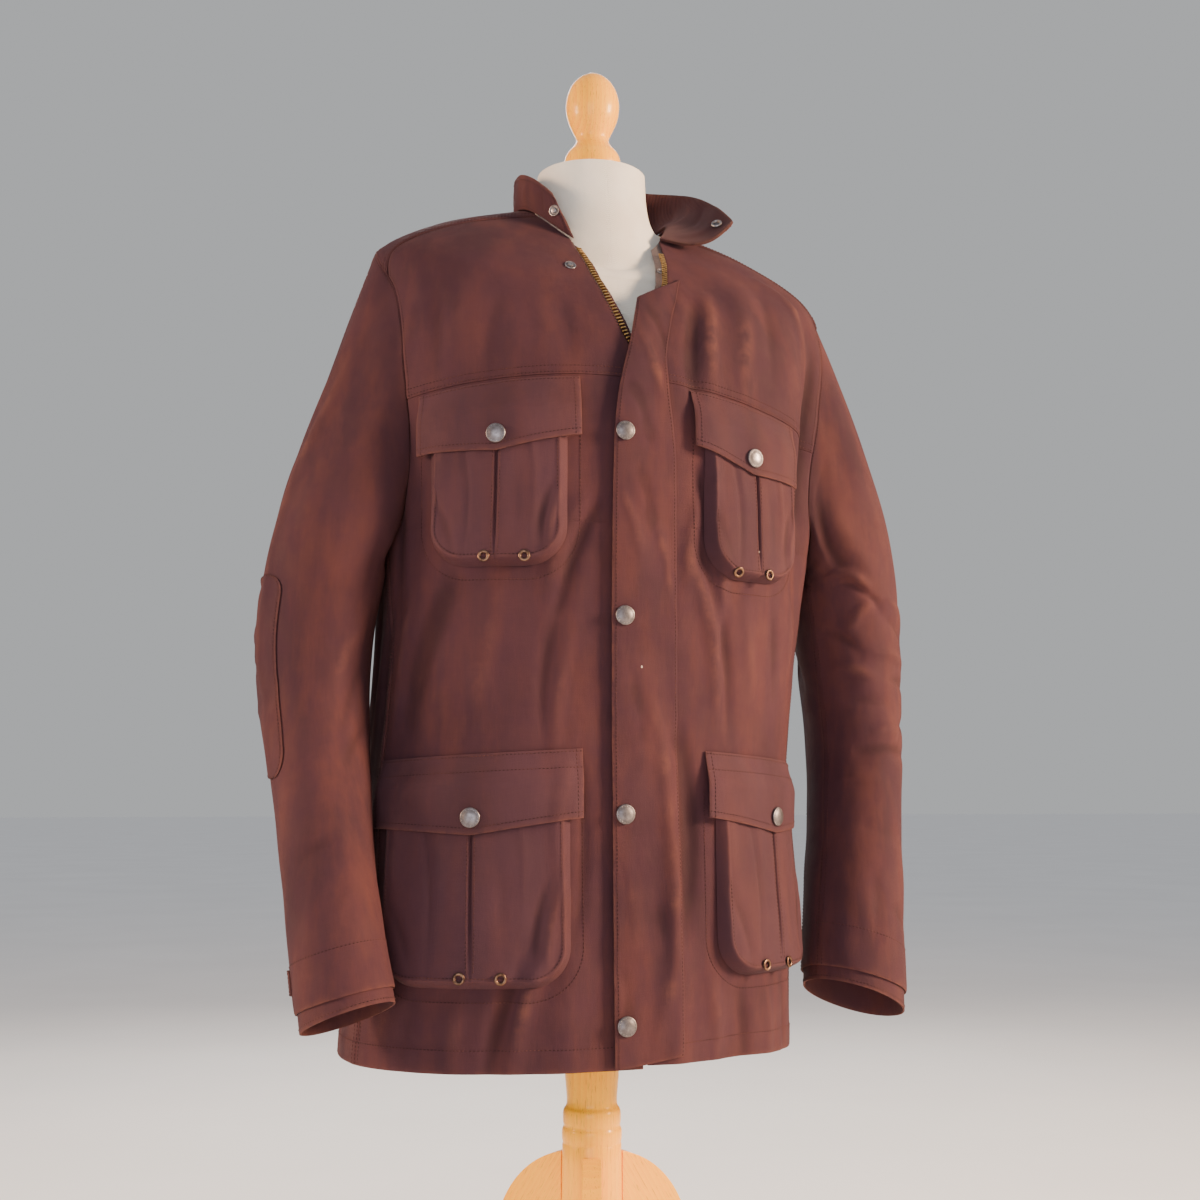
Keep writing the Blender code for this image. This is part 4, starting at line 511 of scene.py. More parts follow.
def gridNormals(grid, closed=False):
    if closed:
        right = np.roll(grid, -1, axis=1) - np.roll(grid, 1, axis=1)
    else:
        right = np.gradient(grid, axis=1)
    return unit(np.cross(right, np.gradient(grid, axis=0)))


def runAlong(grid, axis):
    steps = np.linalg.norm(np.diff(grid, axis=axis), axis=2)
    zero = np.zeros_like(steps[:1]) if axis == 0 else np.zeros_like(steps[:, :1])
    return np.concatenate([zero, np.cumsum(steps, axis=axis)], axis=axis)


def borderDistances(grid):
    across, along = runAlong(grid, 1), runAlong(grid, 0)
    return {
        "left": across, "right": across[:, -1:] - across,
        "bottom": along, "top": along[-1:] - along,
    }


def withEdges(places):
    # two more rows and columns close to each border, so that edges can be rounded
    for axis in (0, 1):
        places = np.moveaxis(places, axis, 0)
        near, far = places[:1], places[-1:]
        second, before = places[1:2], places[-2:-1]
        places = np.concatenate([
            near, near + (second - near) * 0.25, near + (second - near) * 0.6, places[1:-1],
            far + (before - far) * 0.6, far + (before - far) * 0.25, far,
        ])
        places = np.moveaxis(places, 0, axis)
    return places


def addCloth(name, outer, inner, look, worn=0.0, crease=0.0, closed=False):
    # its material reads how worn and creased it is, and the place along and across the weave; the crease
    # troughs are painted darker as shade
    across, along = runAlong(outer, 1), runAlong(outer, 0)
    middle = outer.shape[1] // 2
    at = np.stack([across - across[:, middle:middle + 1], along, np.zeros_like(along)], axis=-1)
    flat = np.zeros(outer.shape[:2])
    columns = {
        "worn": np.clip(flat + worn, 0, 1), "crease": np.clip((flat + crease) / cloth["fullCrease"], -1, 1),
        "clothAt": at,
    }
    values = {key: np.concatenate([a.reshape(-1, *a.shape[2:])] * 2) for key, a in columns.items()}
    points = np.concatenate([outer.reshape(-1, 3), inner.reshape(-1, 3)])
    makeObject(name, points, wallFaces(*outer.shape[:2], closed), look, values=values)


def wornAt(distances, borders):
    # borders says how worn each one is, 0 to 1
    worn = 0.0
    for word, amount in borders.items():
        worn = np.maximum(worn, amount * np.exp(-distances[word] / cloth["edge"]))
    return worn


def edgeLift(distances, drop, welts=()):
    # outer faces round down to each border; a felled seam stands up a little beside it
    lift = 0.0
    for distance in distances.values():
        lift = lift - drop * (1.0 - smooth(distance / cloth["edge"]))
    for word, wide, high in welts:
        lift = lift + high * (1.0 - smooth((distances[word] - wide) / cloth["weltFade"]))
    return lift


def softEdged(outer, drop):
    distances = borderDistances(outer)
    return outer + gridNormals(outer) * edgeLift(distances, drop)[..., None], distances


def alongLine(at, run, line):
    # points or directions of a line at so many metres along it
    return np.stack([np.interp(at, run, line[:, k]) for k in range(3)], axis=-1)


def offsetRun(grid, border, distance):
    # the line on a grid of points that runs distance metres inside one border
    if border in ("left", "right"):
        grid = np.swapaxes(grid, 0, 1)
    if border in ("right", "top"):
        grid = grid[::-1]
    run = runAlong(grid, 0)
    return np.array([alongLine(distance, run[:, j], grid[:, j]) for j in range(grid.shape[1])])


stitchRuns = {}


def sew(group, line, normals):
    stitchRuns.setdefault(group, []).append((line, normals))


def sewBorders(group, grid, borders, *distances, closed=False, first=0.0, last=1.0):
    # one row of stitches along each border named for each distance inside it
    normals = gridNormals(grid, closed)
    if closed:
        grid = np.concatenate([grid, grid[:, :1]], axis=1)
        normals = np.concatenate([normals, normals[:, :1]], axis=1)
    for border in borders.split():
        out = unit(offsetRun(normals, border, 0.0))
        part = slice(int(first * (len(out) - 1)), int(last * (len(out) - 1)) + 1)
        for distance in distances:
            sew(group, offsetRun(grid, border, distance)[part], out[part])


stitch = {"pitch": 0.0034, "long": 0.0025, "wide": 0.00042, "high": 0.00034}


def makeStitches():
    for group, runs in stitchRuns.items():
        points, faces = [], []
        for line, out in runs:
            steps = np.linalg.norm(np.diff(line, axis=0), axis=1)
            run = np.concatenate([[0.0], np.cumsum(steps)])
            count = int(run[-1] / stitch["pitch"])
            if count < 2:
                continue
            starts = (np.arange(count) + 0.2) * run[-1] / count
            shares = np.array([0.0, 0.16, 0.84, 1.0]) * stitch["long"]
            at = starts[:, None] + shares[None, :]
            centre, normal = alongLine(at, run, line), unit(alongLine(at, run, out))
            ahead = unit(centre[:, 3:] - centre[:, :1])
            for c, n, a in zip(centre, normal, unit(np.cross(normal, ahead))):
                base = len(points)
                low, high = -n[0] * stitch["high"] * 0.9, n * stitch["high"]
                points.append(c[0] + low)
                for ring in (1, 2):
                    points += [c[ring] + a[0] * stitch["wide"], c[ring] + high[ring] * 1.5]
                    points += [c[ring] - a[0] * stitch["wide"], c[ring] + low]
                points.append(c[3] + low)
                for k in range(4):
                    m = (k + 1) % 4
                    faces.append((base, base + 1 + m, base + 1 + k))
                    faces.append((base + 1 + k, base + 1 + m, base + 5 + m, base + 5 + k))
                    faces.append((base + 5 + k, base + 5 + m, base + 9))
        makeObject("stitching_" + group, points, faces, "thread", 60.0)


# materials

def put(tree, kind, **settings):
    node = tree.nodes.new(kind)
    for word, value in settings.items():
        setattr(node, word, value)
    return node


def feed(tree, socket, value):
    if isinstance(value, bpy.types.NodeSocket):
        tree.links.new(value, socket)
    elif value is not None:
        socket.default_value = value


def maths(tree, operation, one, two=None, clamp=False):
    node = put(tree, "ShaderNodeMath", operation=operation, use_clamp=clamp)
    feed(tree, node.inputs[0], one)
    feed(tree, node.inputs[1], two)
    return node.outputs[0]


def times(tree, one, two, clamp=False):
    return maths(tree, "MULTIPLY", one, two, clamp)


def plus(tree, one, two):
    return maths(tree, "ADD", one, two)


def blend(tree, share, one, two):
    node = put(tree, "ShaderNodeMix", data_type="RGBA")
    feed(tree, node.inputs[0], share)
    for socket, value in ((node.inputs[6], one), (node.inputs[7], two)):
        feed(tree, socket, (*value, 1.0) if isinstance(value, tuple) else value)
    return node.outputs[2]


def layered(tree, colour, layers):
    # each layer is a mask, how strongly it shows, and its colour
    for mask, strength, tint in layers:
        colour = blend(tree, times(tree, mask, strength), colour, tint)
    return colour


def noise(tree, place, scale, detail=3.0, rough=0.55):
    node = put(tree, "ShaderNodeTexNoise")
    feed(tree, node.inputs["Vector"], place)
    node.inputs["Scale"].default_value = scale
    node.inputs["Detail"].default_value = detail
    node.inputs["Roughness"].default_value = rough
    return node.outputs[0]


def levelsOf(tree, value, low, high, toLow=0.0, toHigh=1.0):
    node = put(tree, "ShaderNodeMapRange")
    node.interpolation_type = "SMOOTHSTEP"
    for socket, number in zip(node.inputs[:5], (value, low, high, toLow, toHigh)):
        feed(tree, socket, number)
    return node.outputs[0]


def scaled(tree, place, size):
    node = put(tree, "ShaderNodeMapping")
    feed(tree, node.inputs[0], place)
    node.inputs["Scale"].default_value = size
    return node.outputs[0]


def newGroup(name, inputs, outputs):
    group = bpy.data.node_groups.new(name, "ShaderNodeTree")
    kinds = {"value": "NodeSocketFloat", "place": "NodeSocketVector"}
    for word, kind, value in inputs:
        socket = group.interface.new_socket(name=word, in_out="INPUT", socket_type=kinds[kind])
        if value is not None:
            socket.default_value = value
    for word, kind in outputs:
        group.interface.new_socket(name=word, in_out="OUTPUT", socket_type=kinds[kind])
    enter, leave = put(group, "NodeGroupInput"), put(group, "NodeGroupOutput")
    return group, enter.outputs, leave.inputs


def weaveGroup():
    # plain weave: threads going over and under along and across the cloth
    group, given, result = newGroup(
        "plainWeave", [("Place", "place", None), ("Threads", "value", 1100.0)],
        [("Height", "value"), ("Slub", "value")],
    )
    parts = put(group, "ShaderNodeSeparateXYZ")
    feed(group, parts.inputs[0], given["Place"])
    warp = times(group, parts.outputs[0], given["Threads"])
    weft = times(group, parts.outputs[1], given["Threads"])
    waver = noise(group, given["Place"], 90.0, 2.0)
    warp = plus(group, warp, waver)
    one = maths(group, "SINE", times(group, warp, 6.283))
    two = maths(group, "SINE", times(group, weft, 6.283))
    feed(group, result["Height"], times(group, one, two))
    long = noise(group, scaled(group, given["Place"], (900.0, 60.0, 1.0)), 1.0, 2.0)
    cross = noise(group, scaled(group, given["Place"], (50.0, 800.0, 1.0)), 1.0, 2.0)
    feed(group, result["Slub"], times(group, plus(group, long, cross), 0.5))
    return group


def mottleGroup():
    # wax gone thin in some places and thick in others
    group, given, result = newGroup(
        "waxMottle", [("Place", "place", None)],
        [("Broad", "value"), ("Fine", "value"), ("Streak", "value")],
    )
    feed(group, result["Broad"], levelsOf(group, noise(group, given["Place"], 7.0, 4.0, 0.6), 0.34, 0.68))
    feed(group, result["Fine"], levelsOf(group, noise(group, given["Place"], 46.0, 5.0, 0.62), 0.35, 0.70))
    streak = noise(group, scaled(group, given["Place"], (34.0, 34.0, 7.0)), 1.0, 4.0, 0.6)
    feed(group, result["Streak"], levelsOf(group, streak, 0.38, 0.72))
    return group


def rubAndShadeGroup():
    # where cloth rubs: its edges, seams and the crests of its creases; and painted shade in the troughs of
    # its creases
    group, given, result = newGroup(
        "rubbedEdgesTroughShade",
        [("Worn", "value", 0.0), ("Crease", "value", 0.0), ("Fine", "value", 0.5), ("Place", "place", None)],
        [("Rubbed", "value"), ("Crest", "value"), ("TroughShade", "value")],
    )
    patchy = levelsOf(group, noise(group, given["Place"], 120.0, 3.0), 0.30, 0.62)
    rubbed = times(group, given["Worn"], plus(group, patchy, 0.25), True)
    feed(group, result["Rubbed"], rubbed)
    crest = times(group, levelsOf(group, given["Crease"], 0.15, 0.85), given["Fine"])
    feed(group, result["Crest"], crest)
    # painted shade: a mask that darkens the cloth where the crease value dips below zero
    feed(group, result["TroughShade"], levelsOf(group, given["Crease"], -0.1, -0.8))
    return group


def lintGroup():
    # a few pale specks and hairs
    group, given, result = newGroup("lintSpecks", [("Place", "place", None)], [("Speck", "value")])
    cells = put(group, "ShaderNodeTexVoronoi", feature="F1")
    bent = scaled(group, given["Place"], (1.0, 1.0, 0.7))
    feed(group, cells.inputs["Vector"], bent)
    cells.inputs["Scale"].default_value = 42.0
    near = maths(group, "LESS_THAN", cells.outputs["Distance"], 0.034)
    parts = put(group, "ShaderNodeSeparateColor")
    feed(group, parts.inputs[0], cells.outputs["Color"])
    few = maths(group, "GREATER_THAN", parts.outputs[0], 0.86)
    feed(group, result["Speck"], times(group, near, few))
    return group


def grainGroup():
    # growth rings drawn out along the wood, with fine pores
    group, given, result = newGroup(
        "beechGrain", [("Place", "place", None)],
        [("Ring", "value"), ("Pore", "value"), ("Cloud", "value")],
    )
    drawn = scaled(group, given["Place"], (3.5, 60.0, 60.0))
    bend = noise(group, drawn, 0.7, 3.0)
    rings = put(group, "ShaderNodeTexWave", wave_type="BANDS", bands_direction="Y", wave_profile="SAW")
    feed(group, rings.inputs["Vector"], drawn)
    feed(group, rings.inputs["Phase Offset"], times(group, bend, 7.0))
    rings.inputs["Scale"].default_value = 1.1
    rings.inputs["Distortion"].default_value = 2.4
    rings.inputs["Detail"].default_value = 2.0
    feed(group, result["Ring"], rings.outputs[1])
    pores = noise(group, scaled(group, given["Place"], (70.0, 900.0, 900.0)), 1.0, 2.0)
    feed(group, result["Pore"], levelsOf(group, pores, 0.58, 0.70))
    feed(group, result["Cloud"], levelsOf(group, noise(group, given["Place"], 9.0, 3.0), 0.3, 0.7))
    return group


def metalGroup():
    # dull in the hollows, rubbed bright on the high places
    group, given, result = newGroup(
        "agedMetal", [("Place", "place", None), ("Worn", "value", 0.0)],
        [("Bright", "value"), ("Stain", "value")],
    )
    blot = levelsOf(group, noise(group, given["Place"], 260.0, 4.0, 0.65), 0.35, 0.65)
    feed(group, result["Stain"], blot)
    feed(group, result["Bright"], times(group, given["Worn"], plus(group, blot, 0.3), True))
    return group


groups = {
    "weave": weaveGroup(), "mottle": mottleGroup(), "wearAndShade": rubAndShadeGroup(), "lint": lintGroup(),
    "grain": grainGroup(), "metal": metalGroup(),
}


def use(tree, word, **given):
    node = put(tree, "ShaderNodeGroup")
    node.node_tree = groups[word]
    for key, value in given.items():
        feed(tree, node.inputs[key], value)
    return node.outputs


def attribute(tree, name, output="Fac"):
    node = put(tree, "ShaderNodeAttribute", attribute_name=name)
    return node.outputs[output]


def newMaterial(name, constants):
    material = bpy.data.materials.new(name)
    material.use_nodes = True
    tree = material.node_tree
    surface = tree.nodes["Principled BSDF"]
    for word, value in constants.items():
        surface.inputs[word].default_value = value
    place = put(tree, "ShaderNodeTexCoord").outputs["Object"]
    return material, tree, surface, place


def bump(tree, surface, heights, strength, distance):
    node = put(tree, "ShaderNodeBump")
    node.inputs["Strength"].default_value = strength
    node.inputs["Distance"].default_value = distance
    feed(tree, node.inputs["Height"], heights)
    feed(tree, surface.inputs["Normal"], node.outputs[0])


def paint(tree, surface, colour, rough):
    feed(tree, surface.inputs["Base Color"], colour)
    feed(tree, surface.inputs["Roughness"], rough)


def clothMasks(tree, place):
    mottle = use(tree, "mottle", Place=place)
    wearAndShade = use(
        tree, "wearAndShade", Worn=attribute(tree, "worn"), Crease=attribute(tree, "crease"),
        Fine=mottle["Fine"], Place=place,
    )
    return mottle, wearAndShade


def waxedMaterial(name, look):
    constants = {
        "Sheen Weight": look["sheen"], "Sheen Roughness": 0.45, "Sheen Tint": (1.0, 0.60, 0.48, 1.0),
        "Specular IOR Level": 0.13,
    }
    material, tree, surface, place = newMaterial(name, constants)
    weave = use(tree, "weave", Place=attribute(tree, "clothAt", "Vector"), Threads=look["threads"])
    mottle, wearAndShade = clothMasks(tree, place)
    lint = use(tree, "lint", Place=place)
    # the crease troughs take the dark shade colour as painted shade; the slubs darken by the thread's own
    # tone
    colour = layered(tree, blend(tree, mottle["Broad"], look["deep"], look["main"]), [
        (mottle["Streak"], look["streak"], look["warm"]), (mottle["Fine"], look["patch"], look["cool"]),
        (wearAndShade["Crest"], look["crest"], look["rubbed"]), (wearAndShade["TroughShade"], look["trough"], look["shade"]),
        (wearAndShade["Rubbed"], look["edge"], look["rubbed"]), (weave["Slub"], look["slub"], look["shade"]),
        (lint["Speck"], look["speck"], look["lint"]),
    ])
    rough = plus(tree, times(tree, mottle["Fine"], 0.14), look["rough"])
    paint(tree, surface, colour, plus(tree, rough, times(tree, wearAndShade["Rubbed"], 0.15)))
    crumple = noise(tree, scaled(tree, place, (1.0, 1.0, 0.55)), 26.0, 5.0, 0.55)
    height = plus(tree, times(tree, weave["Height"], 0.045), crumple)
    height = plus(tree, height, times(tree, weave["Slub"], 0.10))
    bump(tree, surface, height, look["bump"], 0.0022)
    return material


def corduroyMaterial():
    constants = {
        "Sheen Weight": 0.18, "Sheen Roughness": 0.40, "Sheen Tint": (0.75, 0.50, 0.50, 1.0),
        "Specular IOR Level": 0.10,
    }
    material, tree, surface, place = newMaterial("needlecord", constants)
    parts = put(tree, "ShaderNodeSeparateXYZ")
    feed(tree, parts.inputs[0], attribute(tree, "clothAt", "Vector"))
    lean = times(tree, noise(tree, place, 60.0, 2.0), 0.6)
    wales = maths(tree, "SINE", plus(tree, times(tree, parts.outputs[0], 3300.0), lean))
    # the wale profile: it raises the wales in the bump, and in the colour it paints the grooves between them
    # darker as painted shade, the wale tops paler
    waleAndGrooveShade = levelsOf(tree, wales, -0.9, 0.9)
    nap = levelsOf(tree, noise(tree, scaled(tree, place, (60.0, 60.0, 20.0)), 1.0, 4.0), 0.42, 0.72)
    wearAndShade = clothMasks(tree, place)[1]
    colour = layered(tree, blend(tree, waleAndGrooveShade, (0.022, 0.0085, 0.0100), (0.066, 0.0265, 0.0290)), [
        (nap, 0.55, (0.070, 0.0310, 0.0320)), (wearAndShade["Crest"], 0.8, (0.105, 0.0540, 0.0520)),
        (wearAndShade["Rubbed"], 0.5, (0.115, 0.0560, 0.0420)),
    ])
    paint(tree, surface, colour, plus(tree, times(tree, nap, 0.1), 0.78))
    bump(tree, surface, plus(tree, waleAndGrooveShade, times(tree, nap, 0.3)), 0.7, 0.0006)
    return material


def jerseyMaterial():
    constants = {"Sheen Weight": 0.25, "Sheen Roughness": 0.5}
    material, tree, surface, place = newMaterial("formJersey", constants)
    parts = put(tree, "ShaderNodeSeparateXYZ")
    feed(tree, parts.inputs[0], attribute(tree, "clothAt", "Vector"))
    across = maths(tree, "SINE", times(tree, parts.outputs[0], 3900.0))
    along = maths(tree, "SINE", times(tree, parts.outputs[1], 3000.0))
    knit = plus(tree, maths(tree, "ABSOLUTE", across), times(tree, along, 0.35))
    cloud = noise(tree, place, 14.0, 4.0)
    colour = blend(tree, levelsOf(tree, cloud, 0.3, 0.7), (0.70, 0.63, 0.52), (0.80, 0.75, 0.65))
    colour = blend(tree, times(tree, knit, 0.10), colour, (0.50, 0.43, 0.34))
    paint(tree, surface, colour, plus(tree, times(tree, cloud, 0.1), 0.82))
    bump(tree, surface, knit, 0.35, 0.0005)
    return material


def threadMaterial():
    constants = {"Sheen Weight": 0.02, "Specular IOR Level": 0.10}
    material, tree, surface, place = newMaterial("sewingThread", constants)
    worn = levelsOf(tree, noise(tree, place, 34.0, 3.0), 0.42, 0.66)
    colour = blend(tree, worn, (0.034, 0.0115, 0.0125), (0.076, 0.0290, 0.0250))
    paint(tree, surface, colour, plus(tree, times(tree, worn, 0.2), 0.55))
    bump(tree, surface, noise(tree, place, 1800.0, 1.0), 0.3, 0.0002)
    return material


def tapeMaterial():
    material, tree, surface, place = newMaterial("zipTape", {"Sheen Weight": 0.2})
    weave = use(tree, "weave", Place=attribute(tree, "clothAt", "Vector"), Threads=900.0)
    cloud = noise(tree, place, 60.0, 3.0)
    colour = blend(tree, weave["Slub"], (0.060, 0.027, 0.024), (0.030, 0.013, 0.012))
    colour = blend(tree, levelsOf(tree, cloud, 0.45, 0.75, 0.0, 0.5), colour, (0.095, 0.046, 0.038))
    paint(tree, surface, colour, plus(tree, times(tree, cloud, 0.1), 0.8))
    bump(tree, surface, weave["Height"], 0.4, 0.0003)
    return material


def woodMaterial():
    constants = {"Coat Roughness": 0.12, "Coat IOR": 1.40, "Specular IOR Level": 0.12}
    material, tree, surface, place = newMaterial("varnishedBeech", constants)
    grain = use(tree, "grain", Place=attribute(tree, "grainAt", "Vector"))
    colour = layered(tree, blend(tree, grain["Ring"], (1.00, 0.46, 0.012), (0.94, 0.34, 0.006)), [
        (grain["Cloud"], 0.45, (1.00, 0.54, 0.020)), (grain["Pore"], 0.45, (0.34, 0.14, 0.040)),
    ])
    paint(tree, surface, colour, plus(tree, times(tree, grain["Ring"], 0.08), 0.30))
    coat = maths(tree, "SUBTRACT", 0.25, times(tree, grain["Pore"], 0.1))
    feed(tree, surface.inputs["Coat Weight"], coat)
    bump(tree, surface, plus(tree, grain["Pore"], grain["Ring"]), 0.12, 0.0004)
    return material


def metalMaterial(name, look):
    material, tree, surface, place = newMaterial(name, {"Specular IOR Level": 0.5})
    age = use(tree, "metal", Place=place, Worn=attribute(tree, "worn"))
    colour = blend(tree, age["Stain"], look["dark"], look["main"])
    colour = blend(tree, age["Bright"], colour, look["bright"])
    paint(tree, surface, colour, maths(tree, "SUBTRACT", look["rough"], times(tree, age["Bright"], 0.14)))
    feed(tree, surface.inputs["Metallic"], plus(tree, times(tree, age["Stain"], 0.06), 0.93))
    bump(tree, surface, noise(tree, place, 900.0, 3.0), 0.18, 0.0002)
    return material


waxLooks = {
    "body": {
        "deep": (0.046, 0.0170, 0.0225), "main": (0.069, 0.0253, 0.0310), "warm": (0.124, 0.0385, 0.0300),
        # shade is the painted shade of the crease troughs, and also the darker tone of the slubs
        "cool": (0.060, 0.0270, 0.0430), "shade": (0.014, 0.0050, 0.0058), "rubbed": (0.180, 0.0720, 0.0500),
        "lint": (0.62, 0.52, 0.44), "streak": 0.45, "patch": 0.22, "crest": 0.46, "trough": 0.45,
        "edge": 0.38, "slub": 0.26, "speck": 0.75, "sheen": 0.02, "rough": 0.70, "bump": 0.75,
        "threads": 1100.0,
    },
}
waxLooks["sleeve"] = dict(
    waxLooks["body"], main=(0.073, 0.0262, 0.0300), warm=(0.130, 0.0410, 0.0310), streak=0.50,
)
# the pockets are the same waxed cotton in a lighter copy: painted light that lifts them out of the shade
# they lie in; the copy also has fewer streaks and more edge wear
waxLooks["pocket"] = dict(
    waxLooks["body"], deep=(0.058, 0.0238, 0.0300), main=(0.077, 0.0312, 0.0395),
    cool=(0.072, 0.0350, 0.0500), streak=0.28, edge=0.40,
)
waxLooks["yoke"] = dict(waxLooks["body"], main=(0.068, 0.0250, 0.0305), warm=(0.114, 0.0368, 0.0302))

metalColumns = ("name", "dark", "main", "bright", "rough")
metalLooks = [dict(zip(metalColumns, row)) for row in (
    ("agedNickel", (0.115, 0.104, 0.106), (0.160, 0.147, 0.150), (0.320, 0.298, 0.300), 0.46),
    ("darkBronze", (0.030, 0.016, 0.012), (0.070, 0.038, 0.026), (0.190, 0.110, 0.070), 0.50),
    ("dulledBrass", (0.160, 0.080, 0.026), (0.400, 0.225, 0.070), (0.680, 0.430, 0.160), 0.40),
)]

finish = {"waxed_" + word: waxedMaterial("waxedCotton_" + word, look) for word, look in waxLooks.items()}
finish.update({look["name"]: metalMaterial(look["name"], look) for look in metalLooks})
finish.update({
    "cord": corduroyMaterial(), "jersey": jerseyMaterial(), "thread": threadMaterial(),
    "tape": tapeMaterial(), "wood": woodMaterial(),
})
print("materials made")


# body panels

def sideSeam(level):
    bottom = 90.0 - armhole["bottomShift"]
    return 71.0 + (bottom - 71.0) * smooth((level - 2.9) / (levels["underarm"] - 2.9))


def armholeRun(low, high, segments, front):
    height = levels["shoulder"] - levels["underarm"]
    start = math.acos(1.0 - 2.0 * (low - levels["underarm"]) / height)
    end = math.acos(1.0 - 2.0 * (high - levels["underarm"]) / height)
    share = 0.5 * (1.0 - np.cos(np.linspace(start, end, segments * armhole["finer"] + 1)))
    middle = 90.0 - armhole["bottomShift"] * (1.0 - share) ** 2
    spread = (1.0 - np.abs(2.0 * share - 1.0) ** armhole["round"]) ** (1.0 / armhole["round"])
    angle = middle - armhole["front"] * spread if front else middle + armhole["back"] * spread
    return np.stack([angle, levels["underarm"] + height * share], axis=-1)


armholeLow = armholeRun(levels["underarm"], levels["chest"], 6, True)
armholeHigh = armholeRun(levels["chest"], levels["yokeFront"], 4, True)
armholeOver = armholeRun(levels["yokeFront"], levels["shoulder"], 3, True)
armholeBackHigh = armholeRun(levels["backYoke"], levels["shoulder"], 5, False)
armholeBackLow = armholeRun(levels["underarm"], levels["backYoke"], 7, False)
sideLevels = np.linspace(0.0, levels["underarm"], 84)
yokeAtNeck = 60.0


def edgeAcross(level, side):
    level = np.asarray(level, float)
    across = np.interp(level, openEdge[:, 0], openEdge[:, 1 if side < 0 else 2])
    return np.where(level <= openEdge[0, 0], zipLine["x"] + side * zipLine["half"], across)


def openingPlaces(level, side):
    level = np.asarray(level, float)
    return np.stack([side * angleAt(edgeAcross(level, side), level), level], axis=-1)


def ruled(near, far, count):
    share = np.linspace(0.0, 1.0, count)[None, :, None]
    return near[:, None, :] * (1.0 - share) + far[:, None, :] * share


def addPanel(name, places, look, drop, welts, worn, mirror=False):
    # places runs from the zip outward; the wearer's right side is its mirror image
    if mirror:
        places = places[:, ::-1] * np.array([-1.0, 1.0])
    places = withEdges(places)
    angle, level = places[..., 0], places[..., 1]
    distances = borderDistances(skin(angle, level))
    swap = {"left": "right", "right": "left"} if mirror else {}
    welts = [(swap.get(word, word), wide, high) for word, wide, high in welts]
    worn = {swap.get(word, word): amount for word, amount in worn.items()}
    outer = skin(angle, level, cloth["wall"] + edgeLift(distances, drop, welts))
    inner = skin(angle, level, 0.0)
    # the crease value, folds included, also paints shade into the troughs through the material
    crease = bodyCrease(angle, level) + 0.12 * foldHeight(angle, level)
    addCloth(name, outer, inner, look, wornAt(distances, worn), crease)
    return outer


def yokeFrontSeam():
    start, share = armholeHigh[-1], np.linspace(0.0, 1.0, 46)[:, None]
    return start + (np.array([yokeAtNeck, levels["neck"]]) - start) * share


def frontPanels(side):
    word = {-1: "right", 1: "left"}[side]
    seam = np.stack([sideSeam(sideLevels) - cloth["seamAngle"], sideLevels], axis=-1)
    end = np.array([[armholeLow[-1, 0], levels["chest"] - cloth["seamLevel"]]])
    far = np.concatenate([seam, armholeLow[1:-1], end])
    nearLevels = far[:, 1].copy()
    if side > 0:
        nearLevels[0] = zipLine["hemRise"]
    near = openingPlaces(nearLevels, side)
    lower = addPanel(
        "front_lower_" + word, ruled(near, far, 92), "waxed_body", cloth["frontDrop"],
        [("bottom", 0.0190, 0.0005)], {"bottom": 0.8, "right": 0.1, "top": 0.1}, side < 0,
    )
    start = np.array([[armholeHigh[0, 0], levels["chest"] + cloth["seamLevel"]]])
    lastHigh = armholeHigh[-1] - np.array([0.0, cloth["seamLevel"]])
    alongYoke = yokeFrontSeam()[1:] - np.array([3.0 * cloth["seamAngle"], 0.0])
    far = np.concatenate([start, armholeHigh[1:-1], lastHigh[None, :], alongYoke])
    near = openingPlaces(far[:, 1], side)
    upper = addPanel(
        "front_upper_" + word, ruled(near, far, 70), "waxed_yoke", cloth["frontDrop"],
        [("bottom", 0.0085, 0.0004)], {"bottom": 0.25, "left": 0.4, "right": 0.1}, side < 0,
    )
    seamSide = "right" if side > 0 else "left"
    group = "front_" + word
    sewBorders(group, lower, "bottom", 0.0195)
    sewBorders(group, lower, seamSide, 0.0028, last=0.72)
    sewBorders(group, upper, "bottom", 0.0022, 0.0082)
    sewBorders(group, upper, seamSide, 0.0030)


def backPanel():
    seam = np.stack([sideSeam(sideLevels) + cloth["seamAngle"], sideLevels], axis=-1)
    end = np.array([[armholeBackLow[-1, 0], levels["backYoke"] - cloth["seamLevel"]]])
    left = np.concatenate([seam, armholeBackLow[1:-1], end])
    right = np.stack([360.0 - left[:, 0], left[:, 1]], axis=-1)
    outer = addPanel(
        "back", ruled(left, right, 150), "waxed_body", cloth["drop"],
        [("bottom", 0.0190, 0.0005), ("left", 0.0085, 0.0006), ("right", 0.0085, 0.0006)],
        {"bottom": 0.9, "left": 0.4, "right": 0.4, "top": 0.2},
    )
    sewBorders("back", outer, "bottom", 0.0195)
    sewBorders("back", outer, "left right", 0.0024)
    sewBorders("back", outer, "left right", 0.0082, last=0.70)


